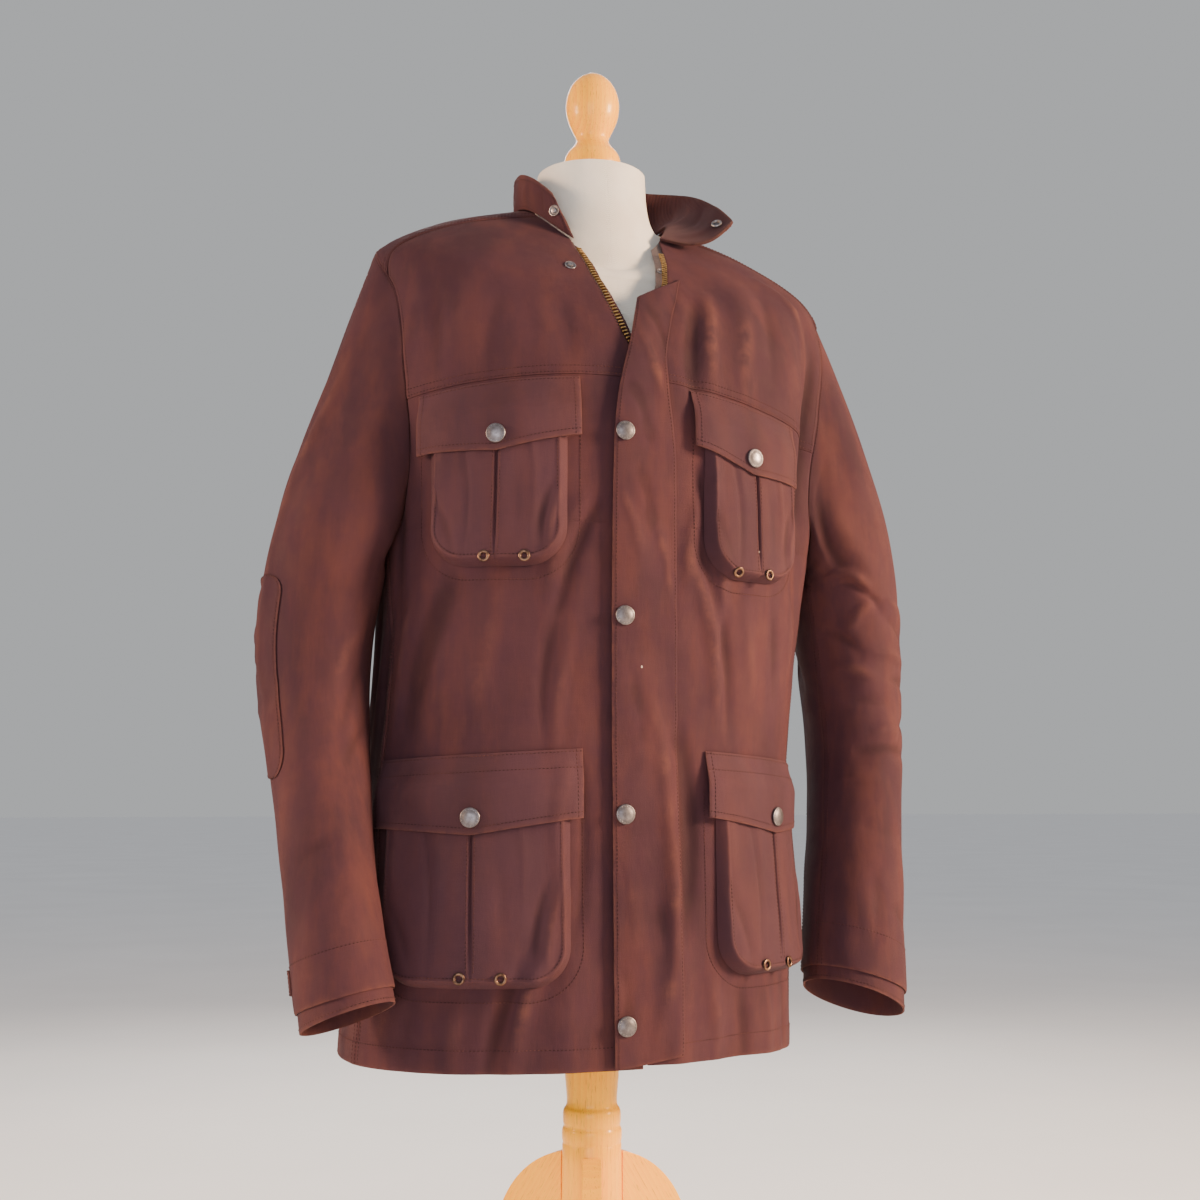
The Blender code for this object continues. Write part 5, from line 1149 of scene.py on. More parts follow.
def yokePanel():
    front = armholeOver[:1] + np.array([3.0 * cloth["seamAngle"], 0.0])
    corner = armholeBackHigh[0, 0]
    across = np.linspace(corner, 360.0 - corner, 14 * armhole["finer"] + 1)
    half = np.concatenate([front, armholeOver[1:], armholeBackHigh[::-1][1:-1]])
    middle = np.stack([across, np.full(len(across), levels["backYoke"] + cloth["seamLevel"])], axis=-1)
    lower = np.concatenate([half, middle, half[::-1] * np.array([-1.0, 1.0]) + np.array([360.0, 0.0])])
    start = yokeAtNeck + 3.0 * cloth["seamAngle"]
    ends = np.linspace(start, 360.0 - start, len(lower))
    upper = np.stack([ends, np.full(len(lower), levels["neck"])], axis=-1)
    places = np.swapaxes(ruled(lower, upper, 46), 0, 1)
    outer = addPanel(
        "yoke", places, "waxed_yoke", cloth["drop"],
        [("bottom", 0.0085, 0.0006), ("left", 0.0085, 0.0006), ("right", 0.0085, 0.0006)],
        {"bottom": 0.35, "left": 0.45, "right": 0.45},
    )
    sewBorders("yoke", outer, "left right", 0.0024, 0.0082)
    sewBorders("yoke", outer, "bottom", 0.0028)
    sewBorders("yoke", outer, "bottom", 0.0084, first=0.27, last=0.73)


# sleeves

armholeLoop = np.concatenate([
    armholeLow, armholeHigh[1:], armholeOver[1:],
    np.concatenate([armholeBackLow, armholeBackHigh[1:]])[::-1][1:-1],
])


def sleeveTurns():
    rise = armholeLoop[:, 1] - armholeLoop[:, 1].mean()
    around = np.unwrap(np.arctan2(rise, (90.0 - armholeLoop[:, 0]) / 12.0))
    even = np.linspace(around[0], around[0] + 2.0 * np.pi, len(around), endpoint=False)
    return 0.4 * around + 0.6 * even


turns = sleeveTurns()
turnDegrees = np.degrees(turns)


def armRing(sleeve, row, lift):
    last = len(sleeve["rows"]) - 1.0
    z, middle, y, half, deep, outer, back = spline(sleeve["rows"], np.array(float(row)))
    ring = np.stack([
        sleeve["side"] * (middle + (half + lift) * np.sin(turns)),
        y - (deep + lift) * np.cos(turns),
        z + outer * np.sin(turns) - back * np.cos(turns),
    ], axis=-1)
    if row > last:
        ring = ring + (ring - armRing(sleeve, last - 0.25, lift)) * (row - last) / 0.25
    return ring


def sleeveHead(side, leave, lift):
    # the wall turns from lying beside the body's edge at the shoulder to lying over it below
    angle, level = side * armholeLoop[:, 0], armholeLoop[:, 1]
    edge, normal = skin(angle, level), bodyNormal(angle, level)
    along = unit(np.roll(edge, -1, axis=0) - np.roll(edge, 1, axis=0))
    away = unit(np.cross(normal, along))
    away *= np.sign(np.sum(away * (edge - edge.mean(axis=0)), axis=1))[:, None]
    ahead = -np.sum(leave * away, axis=1)[:, None]
    out = np.sum(leave * normal, axis=1)[:, None]
    size = np.maximum(np.hypot(ahead, out), 1e-9)
    ahead, out = ahead / size, out / size
    facing = normal * ahead + away * out
    facing = unit(facing - leave * np.sum(facing * leave, axis=1)[:, None])
    over = cloth["wall"] / 2.0 + (cloth["wall"] + cloth["gap"] * 2.0) * np.maximum(-ahead, 0.0)
    beside = cloth["gap"] + cloth["wall"] / 2.0 * np.abs(out)
    return edge + normal * over - away * beside + facing * (lift - cloth["wall"] / 2.0)


def sleeveGrid(sleeve, rows, lift):
    # rows above 0 are the arm's, -1 to 0 the cap's from the armhole down
    side = sleeve["side"]
    height, ahead = (0.5 + 0.5 * np.sin(turns))[:, None], np.cos(turns)[:, None]
    swell = side * (sleeve["swell"] + 0.02 * height)
    leave = unit(np.concatenate([swell, -0.06 * ahead, height - 1.9], axis=1))
    start, first = sleeveHead(side, leave, lift), armRing(sleeve, 0.0, lift)
    arrive = unit(armRing(sleeve, 0.3, lift) - first)
    early = start + leave * (0.014 + sleeve["leave"] * height)
    late = first - arrive * (0.014 + sleeve["arrive"] * height)
    rings = []
    for row in rows:
        if row >= 0.0:
            rings.append(armRing(sleeve, row, lift))
        else:
            t, u = row + 1.0, -row
            rings.append(start * u**3 + 3 * early * t * u**2 + 3 * late * t**2 * u + first * t**3)
    return np.array(rings)


armScale = {"row": 0.074, "capRow": 0.20, "radius": 0.052}  # metres for each row, and round the arm


def sleeveCrease(sleeve, rows):
    run = lambda row: -row * armScale["row" if row > 0.0 else "capRow"]
    metre = np.array([run(row) for row in rows])[:, None]
    radius = armScale["radius"]
    table = [
        (math.radians(a) * radius, run(b), math.radians(c) * radius, run(d), wide, high)
        for a, b, c, d, wide, high in sleeve["creases"]
    ]
    height = 0.0
    for whole in (-360.0, 0.0, 360.0):
        height = height + creaseHeight(np.radians(turnDegrees[None, :] + whole) * radius, metre, table)
    calm = smooth((rows + 1.0) / 0.12)[:, None] * smooth((5.1 - rows) / 0.25)[:, None]
    around = np.sin(turns)[None, :] * radius
    return (height + unevenness(around, metre + np.cos(turns)[None, :] * radius, 0.0006)) * calm


def sleeveSkin(sleeve, rows, lift):
    grid = sleeveGrid(sleeve, rows, lift)
    out = gridNormals(grid[:, ::-1] if sleeve["side"] < 0 else grid, True)
    out = out[:, ::-1] if sleeve["side"] < 0 else out
    if rows[0] < rows[-1]:
        out = -out
    return grid + out * sleeveCrease(sleeve, rows)[..., None], out


def facingOut(grid, side):
    return grid if side > 0 else grid[:, ::-1]


def aroundRing(grid, degrees):
    # points of each ring at the directions asked for, one row of degrees for each ring
    wide = np.concatenate([turnDegrees - 360.0, turnDegrees, turnDegrees + 360.0])
    ring = np.concatenate([grid, grid, grid], axis=1)
    return np.array([alongLine(wanted, wide, row) for row, wanted in zip(ring, degrees)])


def solidLine(degrees):
    # the solid's own lengthwise line that lies nearest a direction round the arm
    away = (turnDegrees[::armhole["finer"]] - degrees + 180.0) % 360.0 - 180.0
    return int(np.argmin(np.abs(away))) * armhole["finer"]


def addSleeve(sleeve):
    side, word = sleeve["side"], sleeve["word"]
    arm = np.linspace(0.0, 5.0, 112)
    cap = -1.0 + np.linspace(0.0, 1.0, 52)[:-1]
    rows = np.concatenate([cap, [0.0], arm[1:]])[::-1]
    rows = np.concatenate([[rows[0], rows[0] - 0.008, rows[0] - 0.02], rows[1:]])
    outer, out = sleeveSkin(sleeve, rows, cloth["wall"])
    inner, _ = sleeveSkin(sleeve, rows, 0.0)
    crease = sleeveCrease(sleeve, rows)
    count = len(turns)
    front, back = solidLine(sleeve["seams"][0]), solidLine(sleeve["seams"][1])
    for part, first, last in (("sleeve_top_", front, back), ("sleeve_under_", back, front)):
        picked = [k % count for k in range(first, first + (last - first) % count + 1)]
        pieceOuter, pieceInner = outer[:, picked].copy(), inner[:, picked].copy()
        for grid in (pieceOuter, pieceInner):
            ends = unit(grid[:, 1] - grid[:, 0]), unit(grid[:, -2] - grid[:, -1])
            grid[:, 0] += ends[0] * cloth["gap"] * 0.6
            grid[:, -1] += ends[1] * cloth["gap"] * 0.6
        distances = borderDistances(pieceOuter)
        welts = [("bottom", 0.0390, 0.0003)]
        if part == "sleeve_top_":
            welts += [("left", 0.0080, 0.0006), ("right", 0.0080, 0.0006)]
        pieceOuter += out[:, picked] * edgeLift(distances, cloth["sleeveDrop"], welts)[..., None]
        worn = wornAt(distances, {"bottom": 1.0, "left": 0.35, "right": 0.35, "top": 0.25})
        grids = (pieceOuter, pieceInner, worn, crease[:, picked])
        shown, lining, worn, creased = (facingOut(grid, side) for grid in grids)
        addCloth(part + word, shown, lining, "waxed_sleeve", worn, creased)
        sewBorders("sleeve_" + word, shown, "bottom", 0.0400)
        if part == "sleeve_top_":
            sewBorders("sleeve_" + word, shown, "left right", 0.0024, 0.0080)
            sewBorders("sleeve_" + word, shown, "top", 0.0030)


# each trim's place on its arm is in the sleeve's dictionary
trims = {
    "elbow_patch": {"rows": 60, "columns": 40, "corner": 0.026, "wall": 0.0014, "stitch": 0.0030},
    "cuff_strap": {"rows": 12, "columns": 30, "corner": 0.004, "wall": 0.0018, "stitch": 0.0025},
}


def addTrim(kind, sleeve):
    # a patch or strap between two of the solid's lengthwise lines, its corners rounded off
    trim, shape = sleeve[kind], trims[kind]
    corner, columnCount = shape["corner"], shape["columns"]
    share = 0.5 - 0.5 * np.cos(np.linspace(0.0, math.pi, shape["rows"]))
    rows = trim["low"] + (trim["high"] - trim["low"]) * share
    first, last = (turnDegrees[solidLine(trim["turn"] + flip * trim["half"])] for flip in (-1.0, 1.0))
    first, last = (trim["turn"] + (end - trim["turn"] + 180.0) % 360.0 - 180.0 for end in (first, last))
    fromEnd = np.minimum(rows - trim["high"], trim["low"] - rows) * armScale["row"]
    inset = corner - np.sqrt(np.maximum(corner**2 - np.maximum(corner - fromEnd, 0.0) ** 2, 0.0))
    reach = (last - first) / 2.0 - np.degrees(inset / armScale["radius"])[:, None]
    degrees = (first + last) / 2.0 + reach * np.linspace(-1.0, 1.0, columnCount)[None, :]
    grids = []
    for lift in (cloth["wall"] + cloth["close"] + shape["wall"], cloth["wall"] + cloth["close"]):
        grids.append(facingOut(aroundRing(sleeveSkin(sleeve, rows, lift)[0], degrees), sleeve["side"]))
    outer, distances = softEdged(grids[0], cloth["drop"])
    worn = wornAt(distances, dict.fromkeys(distances, 0.8))
    addCloth(kind + "_" + sleeve["word"], outer, grids[1], "waxed_sleeve", worn)
    sewBorders("sleeve_" + sleeve["word"], outer, "left right bottom top", shape["stitch"])


def addCuff(sleeve):
    side, word, last = sleeve["side"], sleeve["word"], len(sleeve["rows"]) - 1.0
    rows = np.linspace(last + 0.28, last - 0.625, 34)
    outer, _ = sleeveSkin(sleeve, rows, -cloth["close"])
    inner, _ = sleeveSkin(sleeve, rows, -cloth["close"] - cloth["wall"])
    outer, inner = facingOut(outer, side), facingOut(inner, side)
    worn = np.exp(-runAlong(outer, 0) / 0.0020)
    addCloth("cuff_" + word, outer, inner, "waxed_sleeve", worn, closed=True)
    sewBorders("sleeve_" + word, outer, "bottom", 0.0035, closed=True)


# pockets

def pocketPlace(pocket, distance, drop):
    side, fall = pocket["side"], pocket["droop"] * (distance - pocket["flapAt"])
    if pocket["flapTop"] is not None:
        return frontPlace(side, distance, pocket["flapTop"] - drop - fall)
    seam = np.interp(side * distance, chart["seamRun"], chart["seamZ"])
    fall = fall * smooth(drop / pocket["flapDrop"])
    return frontPlace(side, distance, seam - pocketCut["belowSeam"] - drop - fall)


def flapGrid(pocket, across, down, extra):
    across, down = np.meshgrid(across, down)
    middle = np.abs(2.0 * across - 1.0)
    longest = pocket["flapDrop"] + pocketCut["point"] * (1.0 - middle) ** 1.2
    distance = pocket["flapAt"] + pocket["flapWide"] * across
    angle, level = pocketPlace(pocket, distance, longest * down)
    stand = pocket["thinTop"] + 2.0 * cloth["lay"] + cloth["pocketWall"]
    stand = stand * smooth(down * longest / pocketCut["mouth"]) * (1.0 - 0.28 * middle**5)
    ripple = pocketCut["ripple"] * np.sin(distance * 150.0 + pocket["flapAt"] * 90.0) * smooth(down * 1.6)
    return skin(angle, level, cloth["wall"] + cloth["lay"] + stand + extra + ripple)


def pouchSizes(pocket):
    middle = pocket["pouchAt"] + pocket["pouchWide"] / 2.0
    top = pocket["flapTop"]
    if top is None:
        top = np.interp(pocket["side"] * middle, chart["seamRun"], chart["seamZ"]) - pocketCut["belowSeam"]
    return middle, top - pocketCut["mouth"]


def pouchPlace(pocket, away, up):
    middle, mouth = pouchSizes(pocket)
    share = up / (mouth - pocket["lowest"])
    fall = pocket["droop"] * (middle - pocket["flapAt"] + away * smooth(share))
    return frontPlace(pocket["side"], middle + away, pocket["lowest"] + up - fall)


def pouchGrid(pocket, s, t, inset, detail=0.0):
    middle, mouth = pouchSizes(pocket)
    half, corner = pocket["pouchWide"] / 2.0 - inset, pocketCut["corner"] - inset
    height = mouth - pocket["lowest"] - inset
    up = height * t
    rounding = corner - np.sqrt(np.maximum(corner**2 - np.maximum(corner - up, 0.0) ** 2, 0.0))
    away = s * (half - rounding)
    inCorner = (up < corner) & (np.abs(away) > half - corner)
    edge = np.where(
        inCorner, corner - np.hypot(np.abs(away) - (half - corner), corner - up),
        np.minimum(half - np.abs(away), up),
    )
    thin, thick = pocket["thinTop"], pocket["thinLow"]
    stand = (thick + (thin - thick) * t - inset) * smooth(edge / pocketCut["edge"]) ** 0.6
    groove = np.exp(-((s * half / pocketCut["pleatWide"]) ** 2))
    pleat = pocketCut["pleatDeep"] * groove * smooth(2.5 * t + 0.1)
    bead = np.exp(-(((edge - pocketCut["edge"]) / pocketCut["rimWide"]) ** 2))
    rim = pocketCut["rimHigh"] * bead * smooth((1.0 - t) * 8.0)
    table = [
        (a * half, b * height, c * half, d * height, wide, high)
        for a, b, c, d, wide, high in pouchCreases
    ]
    crease = creaseHeight(away * pocket["side"], up, table) * smooth(edge / pocketCut["creaseFade"])
    lift = stand - pleat + detail * (rim + crease)
    angle, level = pouchPlace(pocket, away, up + inset)
    grid = skin(angle, level, cloth["wall"] + cloth["lay"] + np.maximum(lift, 0.0))
    return grid, edge, crease


def addPouch(pocket):
    # points lie closer beside the pleat, round the rim and along the bottom
    half = np.concatenate([
        np.linspace(0.0, 0.055, 9), np.linspace(0.08, 0.80, 22), np.linspace(0.82, 1.0, 15),
    ])
    up = np.concatenate([np.linspace(0.0, 0.16, 20), np.linspace(0.18, 1.0, 36)])
    s, t = np.meshgrid(np.concatenate([-half[::-1][:-1], half]), up)
    outer, edge, crease = pouchGrid(pocket, s, t, 0.0, 1.0)
    inner, _, _ = pouchGrid(pocket, s, t, cloth["pocketWall"], 1.0)
    rim = np.exp(-(((edge - pocketCut["edge"]) / pocketCut["rimRub"]) ** 2)) * smooth((1.0 - t) * 6.0)
    fromLip = np.abs(s) * pocket["pouchWide"] / 2 - pocketCut["lip"]
    worn = np.maximum(0.34 * rim, 0.25 * np.exp(-((fromLip / pocketCut["lipRub"]) ** 2)))
    # the crease value, strengthened, paints shade into the troughs through the material
    grids = (facingOut(grid, pocket["side"]) for grid in (worn, crease * 1.6))
    outer, inner = facingOut(outer, pocket["side"]), facingOut(inner, pocket["side"])
    # the pockets' lighter copy of the cloth, which paints light on them
    addCloth("pouch_" + pocket["name"], outer, inner, "waxed_pocket", *grids)


def addFlap(pocket):
    across = np.concatenate([[0.0, 0.006, 0.016], np.linspace(0.035, 0.965, 50), [0.984, 0.994, 1.0]])
    down = np.concatenate([[1.0, 0.985, 0.96], np.linspace(0.93, 0.05, 34), [0.03, 0.015, 0.0]])
    outer, inner = (flapGrid(pocket, across, down, extra) for extra in (cloth["wall"], 0.0))
    outer, distances = softEdged(facingOut(outer, pocket["side"]), cloth["drop"])
    worn = wornAt(distances, {"bottom": 0.9, "left": 0.8, "right": 0.8, "top": 0.3})
    # a ripple across the flap that only its colour shows, its shape has none: painted shade along the
    # troughs and paler rubbed colour along the crests
    ripple = 0.0016 * np.sin(np.linspace(0, 9, outer.shape[1]))[None, :]
    inner = facingOut(inner, pocket["side"])
    # the pockets' lighter copy of the cloth, which paints light on them
    addCloth("flap_" + pocket["name"], outer, inner, "waxed_pocket", worn, ripple)
    group = "pocket_" + pocket["name"]
    sewBorders(group, outer, "left right bottom", 0.0058)
    sewBorders(group, outer, "top", 0.0022)
    if pocket["flapTop"] is not None:
        sewBorders(group, outer, "top", 0.0165)


def sewPouch(pocket):
    # round the pouch's face, on the body outside it, and down both lips of the pleat
    group = "pocket_" + pocket["name"]
    mouth = pouchSizes(pocket)[1]
    tall = mouth - pocket["lowest"]
    turn = np.radians(np.linspace(0.0, 90.0, 24))
    for inside in (pocketCut["faceStitch"], -pocketCut["outerStitch"]):
        half, corner = pocket["pouchWide"] / 2.0 - inside, pocketCut["corner"] - inside
        bottom = np.linspace(half - corner, 0.0, 14)[1:]
        rise = np.linspace((tall - inside) * 0.97, corner, 40)
        path = np.stack([
            np.concatenate([np.full(40, half), half - corner + corner * np.cos(turn), bottom]),
            np.concatenate([rise, corner - corner * np.sin(turn), bottom * 0.0]),
        ], axis=-1)
        path = np.concatenate([path, path[::-1][1:] * np.array([-1.0, 1.0])])
        path[:, 1] += inside
        angle, level = pouchPlace(pocket, path[:, 0], path[:, 1])
        lift = cloth["wall"] + 0.0001
        if inside > 0.0:
            stand = pocket["thinLow"] + (pocket["thinTop"] - pocket["thinLow"]) * path[:, 1] / tall
            lift = cloth["wall"] + cloth["lay"] + stand + 0.0003
        sew(group, skin(angle, level, lift), bodyNormal(angle, level))
    t = np.linspace(0.90, 0.08, 60)[:, None]
    for away in (-pocketCut["lipStitch"], pocketCut["lipStitch"]):
        s = np.full_like(t, away / (pocket["pouchWide"] / 2.0))
        line, _, _ = pouchGrid(pocket, s, t, 0.0, 1.0)
        angle, level = pouchPlace(pocket, np.full(len(t), away), t[:, 0] * tall)
        sew(group, line[:, 0], bodyNormal(angle, level))


def turnedPoints(profile, around, place, normal):
    sideways = unit(np.cross(up, normal))
    upward = np.cross(normal, sideways)
    turn = np.linspace(0.0, 2.0 * np.pi, around, endpoint=False)
    ring = sideways[None, :] * np.cos(turn)[:, None] + upward[None, :] * np.sin(turn)[:, None]
    return np.array([place + ring * radius + normal * height for height, radius in profile])


def turnedFaces(rows, around, offset=0):
    faces = []
    for i in range(rows - 1):
        for j in range(around):
            k = (j + 1) % around
            a, b = offset + i * around + j, offset + i * around + k
            faces.append((a, b, b + around, a + around))
    faces.append(tuple(offset + j for j in reversed(range(around))))
    last = offset + (rows - 1) * around
    faces.append(tuple(range(last, last + around)))
    return faces


def addFastener(name, place, normal, kind):
    # profile rows are height and radius as shares of the whole, and how rubbed each is
    shape, profile, dots = fasteners[kind]
    around, radius, height, size = shape["around"], shape["radius"], shape["height"], dots["size"]
    rows = [(h * height, r * radius) for h, r, _ in profile]
    points = turnedPoints(rows, around, place, normal).reshape(-1, 3)
    worn = np.repeat([w for _, _, w in profile], around)
    faces = turnedFaces(len(rows), around)
    ring = turnedPoints([(dots["height"] * height, dots["at"] * radius)], dots["count"], place, normal)[0]
    for middle in ring:
        bead = turnedPoints([(h * size, r * size) for h, r in beadProfile], 6, middle, normal).reshape(-1, 3)
        faces += turnedFaces(3, 6, len(points))
        points = np.concatenate([points, bead])
        worn = np.concatenate([worn, np.full(len(bead), 0.9)])
    makeObject(name, points, faces, "agedNickel", 34.0, {"worn": worn})


capProfile = [  # height, radius, rubbed
    (0.00, 0.95, 0.0), (0.18, 0.99, 0.1), (0.34, 1.00, 0.7), (0.50, 0.985, 0.8), (0.60, 0.95, 0.4),
    (0.64, 0.91, 0.1), (0.66, 0.86, 0.0), (0.70, 0.76, 0.0), (0.77, 0.68, 0.1), (0.84, 0.58, 0.2),
    (0.91, 0.45, 0.3), (0.96, 0.31, 0.4), (0.99, 0.16, 0.4), (1.00, 0.05, 0.4),
]
studProfile = [
    (0.00, 0.94, 0.0), (0.20, 1.00, 0.9), (0.34, 0.96, 1.0), (0.38, 0.86, 0.6), (0.22, 0.76, 0.0),
    (0.20, 0.52, 0.0), (0.30, 0.44, 0.2), (0.70, 0.40, 0.6), (0.86, 0.46, 1.0), (0.96, 0.38, 1.0),
    (1.00, 0.22, 1.0), (1.00, 0.05, 1.0),
]
socketProfile = [
    (0.00, 0.94, 0.0), (0.40, 1.00, 0.9), (0.75, 0.97, 1.0), (1.00, 0.86, 1.0), (0.90, 0.66, 0.7),
    (0.55, 0.54, 0.2), (0.25, 0.50, 0.0), (0.20, 0.30, 0.0), (0.20, 0.06, 0.0),
]
capDots = {"count": 18, "at": 0.81, "size": 0.00036, "height": 0.68}
studDots = {"count": 8, "at": 0.64, "size": 0.00022, "height": 0.22}
beadProfile = [(-0.2, 1.0), (0.3, 0.8), (0.55, 0.35)]
fasteners = {
    "cap": (capShape, capProfile, capDots), "stud": (studShape, studProfile, studDots),
    "socket": (studShape, socketProfile, studDots), "neckSocket": (neckSocketShape, socketProfile, studDots),
}


def eyeletRing(name, place, normal):
    sideways = unit(np.cross(up, normal))
    upward = np.cross(normal, sideways)
    around, section = 30, 10
    points = []
    for a in np.linspace(0.0, 2.0 * np.pi, around, endpoint=False):
        out = sideways * math.cos(a) + upward * math.sin(a)
        for b in np.linspace(0.0, 2.0 * np.pi, section, endpoint=False):
            wide, high = 1.25 * eyelet["wire"] * math.cos(b), 0.9 * eyelet["wire"] * math.sin(b)
            points.append(place + out * (eyelet["radius"] + wide) + normal * high)
    faces = []
    for i in range(around):
        for j in range(section):
            k, m = (i + 1) % around, (j + 1) % section
            faces.append((i * section + j, k * section + j, k * section + m, i * section + m))
    worn = np.tile(np.clip(np.sin(np.linspace(0.0, 2.0 * np.pi, section, endpoint=False)), 0, 1), around)
    makeObject(name, points, faces, "darkBronze", 60.0, {"worn": worn})


def addPocketMetal(pocket):
    down = pocket["flapDrop"] + pocketCut["point"] - pocketCut["capAbovePoint"]
    angle, level = pocketPlace(pocket, np.array(pocket["flapAt"] + pocket["flapWide"] / 2.0), down)
    stand = cloth["wall"] * 2.0 + cloth["lay"] * 3.0 + pocket["thinTop"] + cloth["pocketWall"] + cloth["gap"]
    addFastener("cap_" + pocket["name"], skin(angle, level, stand), bodyNormal(angle, level), "cap")
    for number, shift in enumerate((-1.0, 1.0)):
        half = pocket["pouchWide"] / 2 - eyelet["inset"]
        s = pocket["side"] * (shift * eyelet["spacing"] - pocket["side"] * eyelet["shift"]) / half
        around = np.array([s, s + 0.04 * pocket["side"], s])
        rise = np.array([0.0, 0.0, 0.02]) + eyelet["up"]
        grid, _, _ = pouchGrid(pocket, around, rise, 0.0, 0.0)
        out = unit(np.cross(grid[1] - grid[0], grid[2] - grid[0]))
        place = grid[0] + out * (eyelet["wire"] + cloth["close"])
        eyeletRing(f"eyelet_{pocket['name']}_{number + 1}", place, out)


# fly, zip and collar

def stripGrid(near, far, lifts, columns):
    share = np.linspace(0.0, 1.0, columns)[None, :]
    angle = near[0][:, None] + (far[0] - near[0])[:, None] * share
    level = near[1][:, None] + (far[1] - near[1])[:, None] * share
    lift = lifts[0][:, None] + (lifts[1] - lifts[0])[:, None] * smooth(share) ** 2
    return angle, level, lift


def addFly():
    numbers = spline(fly["rows"], np.linspace(0.0, len(fly["rows"]) - 1.0, fly["lines"]))
    zEdge, xEdge, offEdge, zSeam, xSeam, offSeam = numbers.T
    near, far = placeOnFront(xEdge, zEdge), placeOnFront(xSeam, zSeam)
    lifts = (cloth["wall"] + offEdge, cloth["wall"] + offSeam)
    angle, level, lift = stripGrid(near, far, lifts, fly["columns"])
    base = bodyBase(angle, level)
    pucker = creaseHeight(base[..., 0], base[..., 2], fly["creases"])
    share = np.linspace(0.0, 1.0, fly["columns"])[None, :]
    pucker = pucker * smooth(share * 5.0) * smooth((1.0 - share) * 6.0)
    pucker = np.maximum(pucker + 0.0003 * np.sin(base[..., 2] * 160.0), -0.0009)
    inner = skin(angle, level, lift + pucker)
    outer, distances = softEdged(skin(angle, level, lift + pucker + fly["wall"]), cloth["thickDrop"])
    worn = wornAt(distances, {"left": 0.9, "top": 0.1, "bottom": 0.8})
    # the pucker, strengthened, paints shade into the troughs through the material
    addCloth("storm_fly", outer, inner, "waxed_body", worn, pucker * 2.2 + bodyCrease(angle, level))
    sewBorders("storm_fly", outer, "left", 0.0035)
    sewBorders("storm_fly", outer, "right", 0.0024)
    for number, z in enumerate(fly["snapZ"]):
        row = np.interp(z, fly["rows"][:, 0], np.arange(len(fly["rows"])))
        _, xEdge, offEdge, _, xSeam, offSeam = spline(fly["rows"], np.array(row))
        share = (fly["snapX"] - xEdge) / (xSeam - xEdge)
        off = offEdge + (offSeam - offEdge) * smooth(share) ** 2
        angle, level = placeOnFront(np.array(fly["snapX"]), np.array(z))
        place = skin(angle, level, cloth["wall"] + off + fly["wall"] + cloth["gap"] * 1.5)
        addFastener(f"cap_fly_{number + 1}", place, bodyNormal(angle, level), "cap")


def addEdgeStrip(name, look):
    side, inside, past, wider, lift, wall = zipLine[name]
    level = np.concatenate([np.linspace(zipLine["low"], openEdge[0, 0], 110), np.linspace(6.36, 11.0, 50)])
    across = edgeAcross(level, side)
    reach = past + wider * smooth((level - openEdge[0, 0]) / 2.5)
    ends = [angleAt(across - side * inside, level), angleAt(across - side * reach, level)]
    low, high = np.minimum(*ends), np.maximum(*ends)
    share = np.linspace(0.0, 1.0, 9)[None, :]
    angle = low[:, None] + (high - low)[:, None] * share
    grid = np.broadcast_to(level[:, None], angle.shape)
    outer, inner = skin(angle, grid, lift), skin(angle, grid, lift - wall)
    rubbed = 0.0 if look == "tape" else 0.5
    addCloth(name, outer, inner, look, wornAt(borderDistances(outer), {"left": rubbed, "right": rubbed}))


teeth = {
    "pitch": 0.0036, "thick": 0.0015, "wide": 0.0028, "wideOpen": 0.0026, "high": 0.0024,
    "past": 0.0018, "pastOpen": 0.0014, "lift": 0.0003, "liftOpen": 0.0017,
}


def addTeeth(word, side):
    # brass teeth clasping the tape's edge, the two sides half a step apart; above the
    # slider the open edge turns out, so that they show
    pitch, thick, high, opens = teeth["pitch"], teeth["thick"], teeth["high"], openEdge[0, 0]
    level = np.concatenate([
        np.linspace(zipLine["low"] + 0.05, opens, 300), np.linspace(opens + 0.02, 10.6, 160),
    ])
    turned = smooth((level - opens) / 0.5)
    middle = edgeAcross(level, side) - side * (teeth["past"] + teeth["pastOpen"] * turned)
    angle = angleAt(middle, level)
    line = skin(angle, level, teeth["lift"] + teeth["liftOpen"] * turned)
    normal = bodyNormal(angle, level)
    run = np.concatenate([[0.0], np.cumsum(np.linalg.norm(np.diff(line, axis=0), axis=1))])
    at = np.arange(0.001 if side < 0 else 0.001 + pitch / 2, run[-1], pitch)
    centre, out = alongLine(at, run, line), unit(alongLine(at, run, normal))
    ahead = unit(np.gradient(centre, axis=0))
    aside = unit(np.cross(ahead, out))
    broad = np.interp(at, run, teeth["wide"] + teeth["wideOpen"] * turned)
    points, faces, worn = [], [], []
    for c, n, a, s, w in zip(centre, out, ahead, aside, broad):
        base = len(points)
        for rise, tight in ((-0.5, 0.8), (0.2, 1.0), (0.5, 0.72)):
            for x, y in ((-1, -1), (1, -1), (1, 1), (-1, 1)):
                points.append(c + s * x * w / 2 * tight + a * y * thick / 2 * tight + n * rise * high)
                worn.append(0.2 if rise < 0.4 else 1.0)
        for ring in (0, 4):
            for k in range(4):
                m = (k + 1) % 4
                faces.append((base + ring + k, base + ring + m, base + ring + 4 + m, base + ring + 4 + k))
        faces.append((base + 3, base + 2, base + 1, base))
        faces.append((base + 8, base + 9, base + 10, base + 11))
    makeObject("zip_teeth_" + word, points, faces, "dulledBrass", 30.0, {"worn": np.array(worn)})


